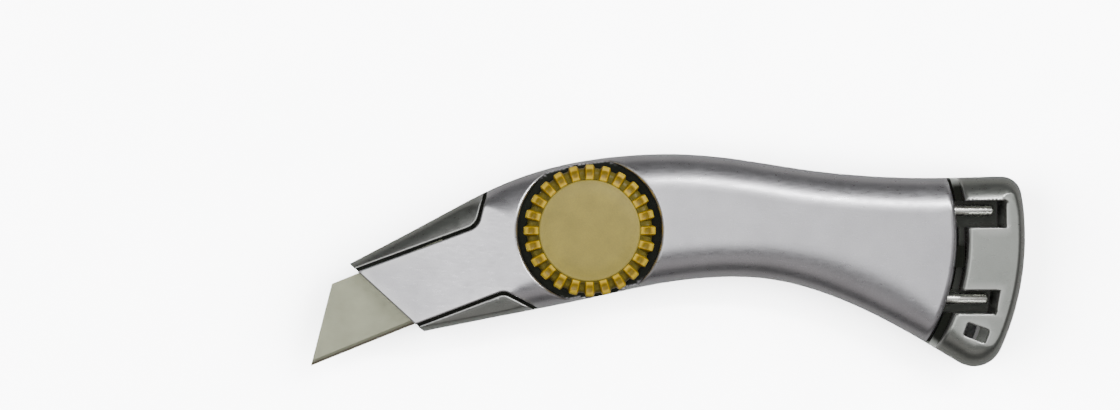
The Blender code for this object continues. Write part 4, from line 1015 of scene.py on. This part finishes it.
def satin_casting(name, colour):
    """Aluminium die casting under a satin silver lacquer. Its skin is very slightly uneven, its flakes sparkle
    finely, its edges are painted a brighter metal as wear and as a painted highlight, and its recesses are
    painted near black as a painted shade."""
    made, tree = new_finish(name)
    place = add(tree, "ShaderNodeTexCoord").outputs["Object"]
    skin = add(tree, "ShaderNodeTexNoise", inputs={"Scale": 1 / (9 * MM), "Detail": 3.0}, Vector=place)
    # Flakes are about 0.05 mm; they are drawn at 0.35 mm so that they show.
    flake = add(tree, "ShaderNodeTexNoise", inputs={"Scale": 1 / (0.35 * MM), "Detail": 1.0}, Vector=place)
    stretched = add(tree, "ShaderNodeMapping",
                    inputs={"Scale": (0.25, 1, 1), "Rotation": (0, 0, 0.12)}, Vector=place)
    brushed = add(tree, "ShaderNodeTexNoise", inputs={"Scale": 1 / (0.7 * MM), "Detail": 2.0},
                  Vector=stretched.outputs[0])
    rim = add(tree, "ShaderNodeAttribute", {"attribute_name": "rim"})
    base = ramp(tree, skin.outputs[0], [(0.3, shade(colour, 0.93)), (0.7, shade(colour, 1.05))])
    speck = ramp(tree, flake.outputs[0], [(0.35, (0.93, 0.93, 0.93, 1)), (0.65, (1.0, 1.0, 1.0, 1))])
    mixed = add(tree, "ShaderNodeMix", {"data_type": "RGBA", "blend_type": "MULTIPLY"}, {0: 1.0},
                k6=base.outputs[0], k7=speck.outputs[0])
    # Where rim is above 0 the colour goes towards bright metal, as wear and as a painted highlight; below 0 it
    # goes towards near black, a painted shade in the recesses.
    bright, painted_shade = (add(tree, "ShaderNodeMath", {"operation": "MULTIPLY", "use_clamp": True}, {1: share},
                        k0=rim.outputs["Fac"]) for share in (0.5, -1.0))
    wear_highlight_and_shade = add(tree, "ShaderNodeMix", {"data_type": "RGBA"}, {7: (0.85, 0.85, 0.83, 1)}, k6=mixed.outputs[2],
               k0=bright.outputs[0])
    # Painted shade: recesses are mixed towards near black 171914.
    wear_highlight_and_shade = add(tree, "ShaderNodeMix", {"data_type": "RGBA"}, {7: linear("171914")}, k6=wear_highlight_and_shade.outputs[2],
               k0=painted_shade.outputs[0])
    rough = add(tree, "ShaderNodeMapRange",
                inputs={"From Min": 0.3, "From Max": 0.7, "To Min": 0.27, "To Max": 0.36},
                Value=brushed.outputs[0])
    height = add(tree, "ShaderNodeMath", {"operation": "MULTIPLY_ADD"}, {1: 4.0}, k0=skin.outputs[0],
                 k2=add(tree, "ShaderNodeMath", {"operation": "ADD"}, k0=flake.outputs[0],
                        k1=brushed.outputs[0]).outputs[0])
    bump = add(tree, "ShaderNodeBump", inputs={"Strength": 0.35, "Distance": 0.02 * MM}, Height=height.outputs[0])
    shader = add(tree, "ShaderNodeBsdfPrincipled", inputs={"Metallic": 0.9}, Base_Color=wear_highlight_and_shade.outputs[2],
                 Roughness=rough.outputs[0], Normal=bump.outputs[0])
    add(tree, "ShaderNodeOutputMaterial", Surface=shader.outputs[0])
    return made


def rolled_steel(name, colour, roughness, grain_mm, stretch=(1, 1, 1), turn=0.0, edge=None, relief_mm=0.004):
    """Rolled or plated steel: a fine grain along the rolling direction, with faint clouding. Edge is a
    place on the ground edge and the direction away from it, where the steel is duller and browner."""
    made, tree = new_finish(name)
    place = add(tree, "ShaderNodeTexCoord").outputs["Object"]
    turned = add(tree, "ShaderNodeMapping", inputs={"Rotation": (0, 0, turn), "Scale": stretch}, Vector=place)
    grain = add(tree, "ShaderNodeTexNoise", inputs={"Scale": 1 / (grain_mm * MM), "Detail": 2.0},
                Vector=turned.outputs[0])
    cloud = add(tree, "ShaderNodeTexNoise", inputs={"Scale": 1 / (7 * MM), "Detail": 2.0}, Vector=place)
    base = ramp(tree, cloud.outputs[0], [(0.3, shade(colour, 0.9)), (0.7, shade(colour, 1.06))]).outputs[0]
    if edge is not None:
        away = add(tree, "ShaderNodeVectorMath", {"operation": "DOT_PRODUCT"}, {1: edge[1]},
                   k0=add(tree, "ShaderNodeVectorMath", {"operation": "SUBTRACT"}, {1: edge[0]},
                          k0=place).outputs[0])
        share = add(tree, "ShaderNodeMath", {"operation": "DIVIDE"}, {1: 2 * MM}, k0=away.outputs["Value"])
        near = ramp(tree, share.outputs[0], [(0.0, linear("6E6055")), (0.3, linear("857A6C")),
                                             (0.42, shade(colour)), (1.0, shade(colour))])
        base = add(tree, "ShaderNodeMix", {"data_type": "RGBA", "blend_type": "MULTIPLY"}, {0: 0.85}, k6=base,
                   k7=near.outputs[0]).outputs[2]
    rough = add(tree, "ShaderNodeMapRange",
                inputs={"From Min": 0.3, "From Max": 0.7, "To Min": roughness - 0.05,
                        "To Max": roughness + 0.05}, Value=grain.outputs[0])
    bump = add(tree, "ShaderNodeBump", inputs={"Strength": 0.3, "Distance": relief_mm * MM},
               Height=grain.outputs[0])
    shader = add(tree, "ShaderNodeBsdfPrincipled", inputs={"Metallic": 0.95}, Base_Color=base,
                 Roughness=rough.outputs[0], Normal=bump.outputs[0])
    add(tree, "ShaderNodeOutputMaterial", Surface=shader.outputs[0])
    return made


def clear_amber(name, colour):
    """Amber polycarbonate, moulded clear and glossy, with a painted highlight where a rib's ends gather the
    light, and a painted shade of dark olive brown in the gaps."""
    made, tree = new_finish(name)
    place = add(tree, "ShaderNodeTexCoord").outputs["Object"]
    rim = add(tree, "ShaderNodeAttribute", {"attribute_name": "rim"})
    swirl = add(tree, "ShaderNodeTexNoise", inputs={"Scale": 1 / (1.6 * MM), "Detail": 3.0}, Vector=place)
    # rim paints the light: ribs' ends and borders go towards bright yellow as a painted highlight, gaps towards
    # dark olive 6A6026 as a painted shade; the swirl is the plastic's own uneven tone.
    depth = add(tree, "ShaderNodeMath", {"operation": "MULTIPLY_ADD"}, {1: 0.35}, k0=swirl.outputs[0],
                k2=add(tree, "ShaderNodeMath", {"operation": "SUBTRACT"}, {1: 0.17},
                       k0=rim.outputs["Fac"]).outputs[0])
    base = ramp(tree, depth.outputs[0], [(0.0, linear("6A6026")), (0.3, linear("80690F")),
                                         (0.5, linear("8F7412")),
                                         (0.75, shade(colour)), (1.0, linear("D4B534"))])
    shader = add(tree, "ShaderNodeBsdfPrincipled",
                 inputs={"Roughness": 0.36, "IOR": 1.58, "Specular IOR Level": 0.15,
                         "Subsurface Weight": 0.15, "Subsurface Radius": (1.0, 0.6, 0.15),
                          "Subsurface Scale": 1.2 * MM},
                 Base_Color=base.outputs[0])
    add(tree, "ShaderNodeOutputMaterial", Surface=shader.outputs[0])
    return made


def frosted_amber(name, colour):
    """The same amber plastic with a spark-eroded, frosted face: matt, a little cloudy, with a fine even
    grit."""
    made, tree = new_finish(name)
    place = add(tree, "ShaderNodeTexCoord").outputs["Object"]
    # The grit is about 0.1 mm; it is drawn at 0.4 mm so that it shows.
    grit = add(tree, "ShaderNodeTexNoise", inputs={"Scale": 1 / (0.4 * MM), "Detail": 2.0}, Vector=place)
    cloud = add(tree, "ShaderNodeTexNoise", inputs={"Scale": 1 / (6 * MM), "Detail": 3.0}, Vector=place)
    base = ramp(tree, cloud.outputs[0], [(0.3, shade(colour, 0.88)), (0.7, shade(colour, 1.08))])
    speck = ramp(tree, grit.outputs[0], [(0.35, (0.9, 0.9, 0.9, 1)), (0.65, (1.0, 1.0, 1.0, 1))])
    mixed = add(tree, "ShaderNodeMix", {"data_type": "RGBA", "blend_type": "MULTIPLY"}, {0: 1.0},
                k6=base.outputs[0], k7=speck.outputs[0])
    bump = add(tree, "ShaderNodeBump", inputs={"Strength": 0.5, "Distance": 0.03 * MM}, Height=grit.outputs[0])
    shader = add(tree, "ShaderNodeBsdfPrincipled",
                 inputs={"Roughness": 0.55, "IOR": 1.58, "Subsurface Weight": 0.1,
                         "Subsurface Radius": (1.0, 0.7, 0.3), "Subsurface Scale": 1.0 * MM},
                 Base_Color=mixed.outputs[2], Normal=bump.outputs[0])
    add(tree, "ShaderNodeOutputMaterial", Surface=shader.outputs[0])
    return made


def give(node, material):
    """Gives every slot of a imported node's object this material."""
    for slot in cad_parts[node].material_slots:
        slot.material = material


# ================================================================ stage
def aim(thing, place, target):
    thing.location = [v * MM for v in place]
    thing.rotation_euler = Vector([t - p for t, p in zip(target, place)]).to_track_quat("-Z", "Y").to_euler()


def area_light(name, place, target, size, power, colour=(1, 1, 1)):
    """A rectangular softbox, all in millimetres but its power in watts."""
    data = bpy.data.lights.new(name, "AREA")
    data.shape, data.size, data.size_y = "RECTANGLE", size[0] * MM, size[1] * MM
    data.energy, data.color = power, colour
    made = bpy.data.objects.new(name, data)
    bpy.context.scene.collection.objects.link(made)
    aim(made, place, target)
    return made


def make_stage(settings):
    """A pale floor lit by its own two lamps, soft panels over the knife, a strip at the spine's side, dim
    fills at the belly's and the nose's side, and a camera looking straight down."""
    scene = bpy.context.scene
    x, y = np.meshgrid(np.linspace(-2500, 2500, 9), np.linspace(-2500, 2500, 9), indexing="ij")
    points = np.column_stack([x.ravel(), y.ravel(), np.full(x.size, -0.05)])
    i, k = np.meshgrid(np.arange(8), np.arange(8), indexing="ij")
    quads = np.stack([i * 9 + k, (i + 1) * 9 + k, (i + 1) * 9 + k + 1, i * 9 + k + 1], -1).reshape(-1, 4)
    mesh = bpy.data.meshes.new("floor")
    mesh.from_pydata((points * MM).tolist(), [], quads.tolist())
    made, tree = new_finish("pale_floor")
    grain = add(tree, "ShaderNodeTexNoise", inputs={"Scale": 30.0, "Detail": 2.0},
                Vector=add(tree, "ShaderNodeTexCoord").outputs["Object"])
    tint = ramp(tree, grain.outputs[0], [(0.3, linear("F7F8F9")), (0.7, linear("FCFCFD"))])
    shader = add(tree, "ShaderNodeBsdfPrincipled", inputs={"Roughness": 0.8, "Specular IOR Level": 0.1},
                 Base_Color=tint.outputs[0])
    add(tree, "ShaderNodeOutputMaterial", Surface=shader.outputs[0])
    mesh.materials.append(made)
    floor = bpy.data.objects.new("floor", mesh)
    scene.collection.objects.link(floor)
    floor.visible_glossy = floor.visible_diffuse = False

    # The room: dark walls round the horizon, a little light from above, and what a pale table sends up from
    # below.
    world = bpy.data.worlds.new("studio")
    world.use_nodes = True
    tree = world.node_tree
    tree.nodes.clear()
    heading = add(tree, "ShaderNodeSeparateXYZ", k0=add(tree, "ShaderNodeTexCoord").outputs["Generated"])
    height = add(tree, "ShaderNodeMapRange", inputs={"From Min": -1.0, "From Max": 1.0},
                 Value=heading.outputs["Z"])
    room = ramp(tree, height.outputs[0], [(0.0, (0.45, 0.45, 0.45, 1)), (0.36, (0.4, 0.39, 0.38, 1)),
                                          (0.47, (0.06, 0.06, 0.06, 1)), (0.68, (0.055, 0.056, 0.053, 1)),
                                          (0.8, (0.18, 0.18, 0.18, 1)), (1.0, (0.2, 0.2, 0.2, 1))])
    backdrop = add(tree, "ShaderNodeBackground", Color=room.outputs[0])
    add(tree, "ShaderNodeOutputWorld", Surface=backdrop.outputs[0])
    scene.world = world
    area_light("overhead", (-125, 60, 700), (-125, 60, 0), (640, 580), 1.72)
    area_light("nose_panel", (-160, 0, 695), (-160, 0, 0), (140, 450), 0.34)
    area_light("spine_strip", (690, 640, 1200), (690, 0, 10), (1300, 100), 20)
    area_light("belly_fill", (20, -820, 600), (20, 0, 10), (1600, 500), 0.75, (1.0, 0.92, 0.91))
    area_light("nose_side", (-900, 0, 520), (0, 0, 0), (260, 700), 0.5)
    lit = bpy.data.collections.new("table")
    lit.objects.link(floor)
    for side in (-1, 1):
        lamp = area_light("table_lamp", (side * 1900, 0, 1500), (0, 0, 0), (2600, 3200), 600)
        lamp.light_linking.receiver_collection = lit

    data = bpy.data.cameras.new("camera")
    data.sensor_width, data.lens = 36.0, 36.0 * settings.distance / settings.width
    camera = bpy.data.objects.new("camera", data)
    camera.location = (settings.centre[0] * MM, settings.centre[1] * MM, (settings.distance + FACE_Z) * MM)
    scene.collection.objects.link(camera)
    scene.camera = camera


# ================================================================ operators and panel
class KNIFE_OT_lid(bpy.types.Operator):
    """Build the front shell's casting"""
    bl_idname, bl_label = "knife.lid", "Front shell"

    def execute(self, context):
        make_lid(in_mm(context.scene.knife_handle),
                 satin_casting("satin_silver_lid_casting", context.scene.knife_colours.lid_silver))
        return {"FINISHED"}


class KNIFE_OT_back(bpy.types.Operator):
    """Build the back shell's casting, with its flanges and tail block"""
    bl_idname, bl_label = "knife.back", "Back shell"

    def execute(self, context):
        # The back shell's lacquer is the darker, shaded copy of the silver: painted shade.
        make_back_casting(in_mm(context.scene.knife_handle),
                          satin_casting("satin_silver_back_casting_shaded", context.scene.knife_colours.shell_silver_shaded))
        return {"FINISHED"}


class KNIFE_OT_wheel(bpy.types.Operator):
    """Build the ribbed thumbwheel and its cap"""
    bl_idname, bl_label = "knife.wheel", "Thumbwheel"

    def execute(self, context):
        colours = context.scene.knife_colours
        make_thumbwheel(in_mm(context.scene.knife_wheel),
                        clear_amber("clear_amber_polycarbonate", colours.amber))
        make_cap(frosted_amber("frosted_amber_polycarbonate", colours.amber_cap))
        return {"FINISHED"}


class KNIFE_OT_steel(bpy.types.Operator):
    """Finish the blades, and build the hinge pins"""
    bl_idname, bl_label = "knife.steel", "Steel parts"

    def execute(self, context):
        colour = context.scene.knife_colours.blade
        tip, away = (BLADE_TIP[0] * MM, BLADE_TIP[1] * MM, 0), (-math.sin(BLADE_TURN), math.cos(BLADE_TURN), 0)
        sharp = rolled_steel("oiled_blade_steel", colour, 0.42, 0.25, (0.15, 1, 1), -BLADE_TURN, (tip, away))
        spare = rolled_steel("spare_blade_steel", colour, 0.4, 0.25, (0.15, 1, 1), math.radians(9))
        plated = rolled_steel("zinc_plated_steel", linear("C9C9C4"), 0.3, 0.3, (1, 0.3, 1))
        give("blade", sharp)
        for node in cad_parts:
            if node.startswith("spare_blade"):
                give(node, spare)
        for node in ("blade_stop_upper", "blade_stop_lower", "dowel_front", "dowel_rear", "clamp_stud",
                     "magazine_clip", "clip_screw", "thrust_washer", "wheel_nut"):
            give(node, plated)
        ground = rolled_steel("ground_steel_pin", linear("D8D8D2"), 0.28, 0.3, (0.2, 1, 1))
        for node in ("hinge_pin_upper", "hinge_pin_lower"):
            make_hinge_pin(node, ground)
        return {"FINISHED"}


class KNIFE_OT_stage(bpy.types.Operator):
    """Set up the floor, the lights and the camera"""
    bl_idname, bl_label = "knife.stage", "Stage"

    def execute(self, context):
        make_stage(in_mm(context.scene.knife_stage))
        return {"FINISHED"}


class KNIFE_PT_panel(bpy.types.Panel):
    """Lists the knife's pieces"""
    bl_idname, bl_label = "KNIFE_PT_panel", "Trimming knife"
    bl_space_type, bl_region_type, bl_category = "VIEW_3D", "UI", "Knife"

    def draw(self, context):
        for operator in OPERATORS:
            self.layout.operator(operator.bl_idname)
        for settings in SETTINGS:
            for name in SETTINGS[settings].__annotations__:
                self.layout.prop(getattr(context.scene, settings), name)


SETTINGS = {"knife_handle": KnifeHandle, "knife_wheel": KnifeWheel, "knife_colours": KnifeColours,
            "knife_stage": KnifeStage}
OPERATORS = (KNIFE_OT_stage, KNIFE_OT_lid, KNIFE_OT_back, KNIFE_OT_wheel, KNIFE_OT_steel)


def register():
    for made in (*SETTINGS.values(), *OPERATORS, KNIFE_PT_panel):
        bpy.utils.register_class(made)
    for name, group in SETTINGS.items():
        setattr(bpy.types.Scene, name, PointerProperty(type=group))


def unregister():
    for name in SETTINGS:
        delattr(bpy.types.Scene, name)
    for made in reversed((*SETTINGS.values(), *OPERATORS, KNIFE_PT_panel)):
        bpy.utils.unregister_class(made)


def main():
    register()
    for operator in OPERATORS:
        group, name = operator.bl_idname.split(".")
        getattr(getattr(bpy.ops, group), name)()


if __name__ == "__main__":
    main()
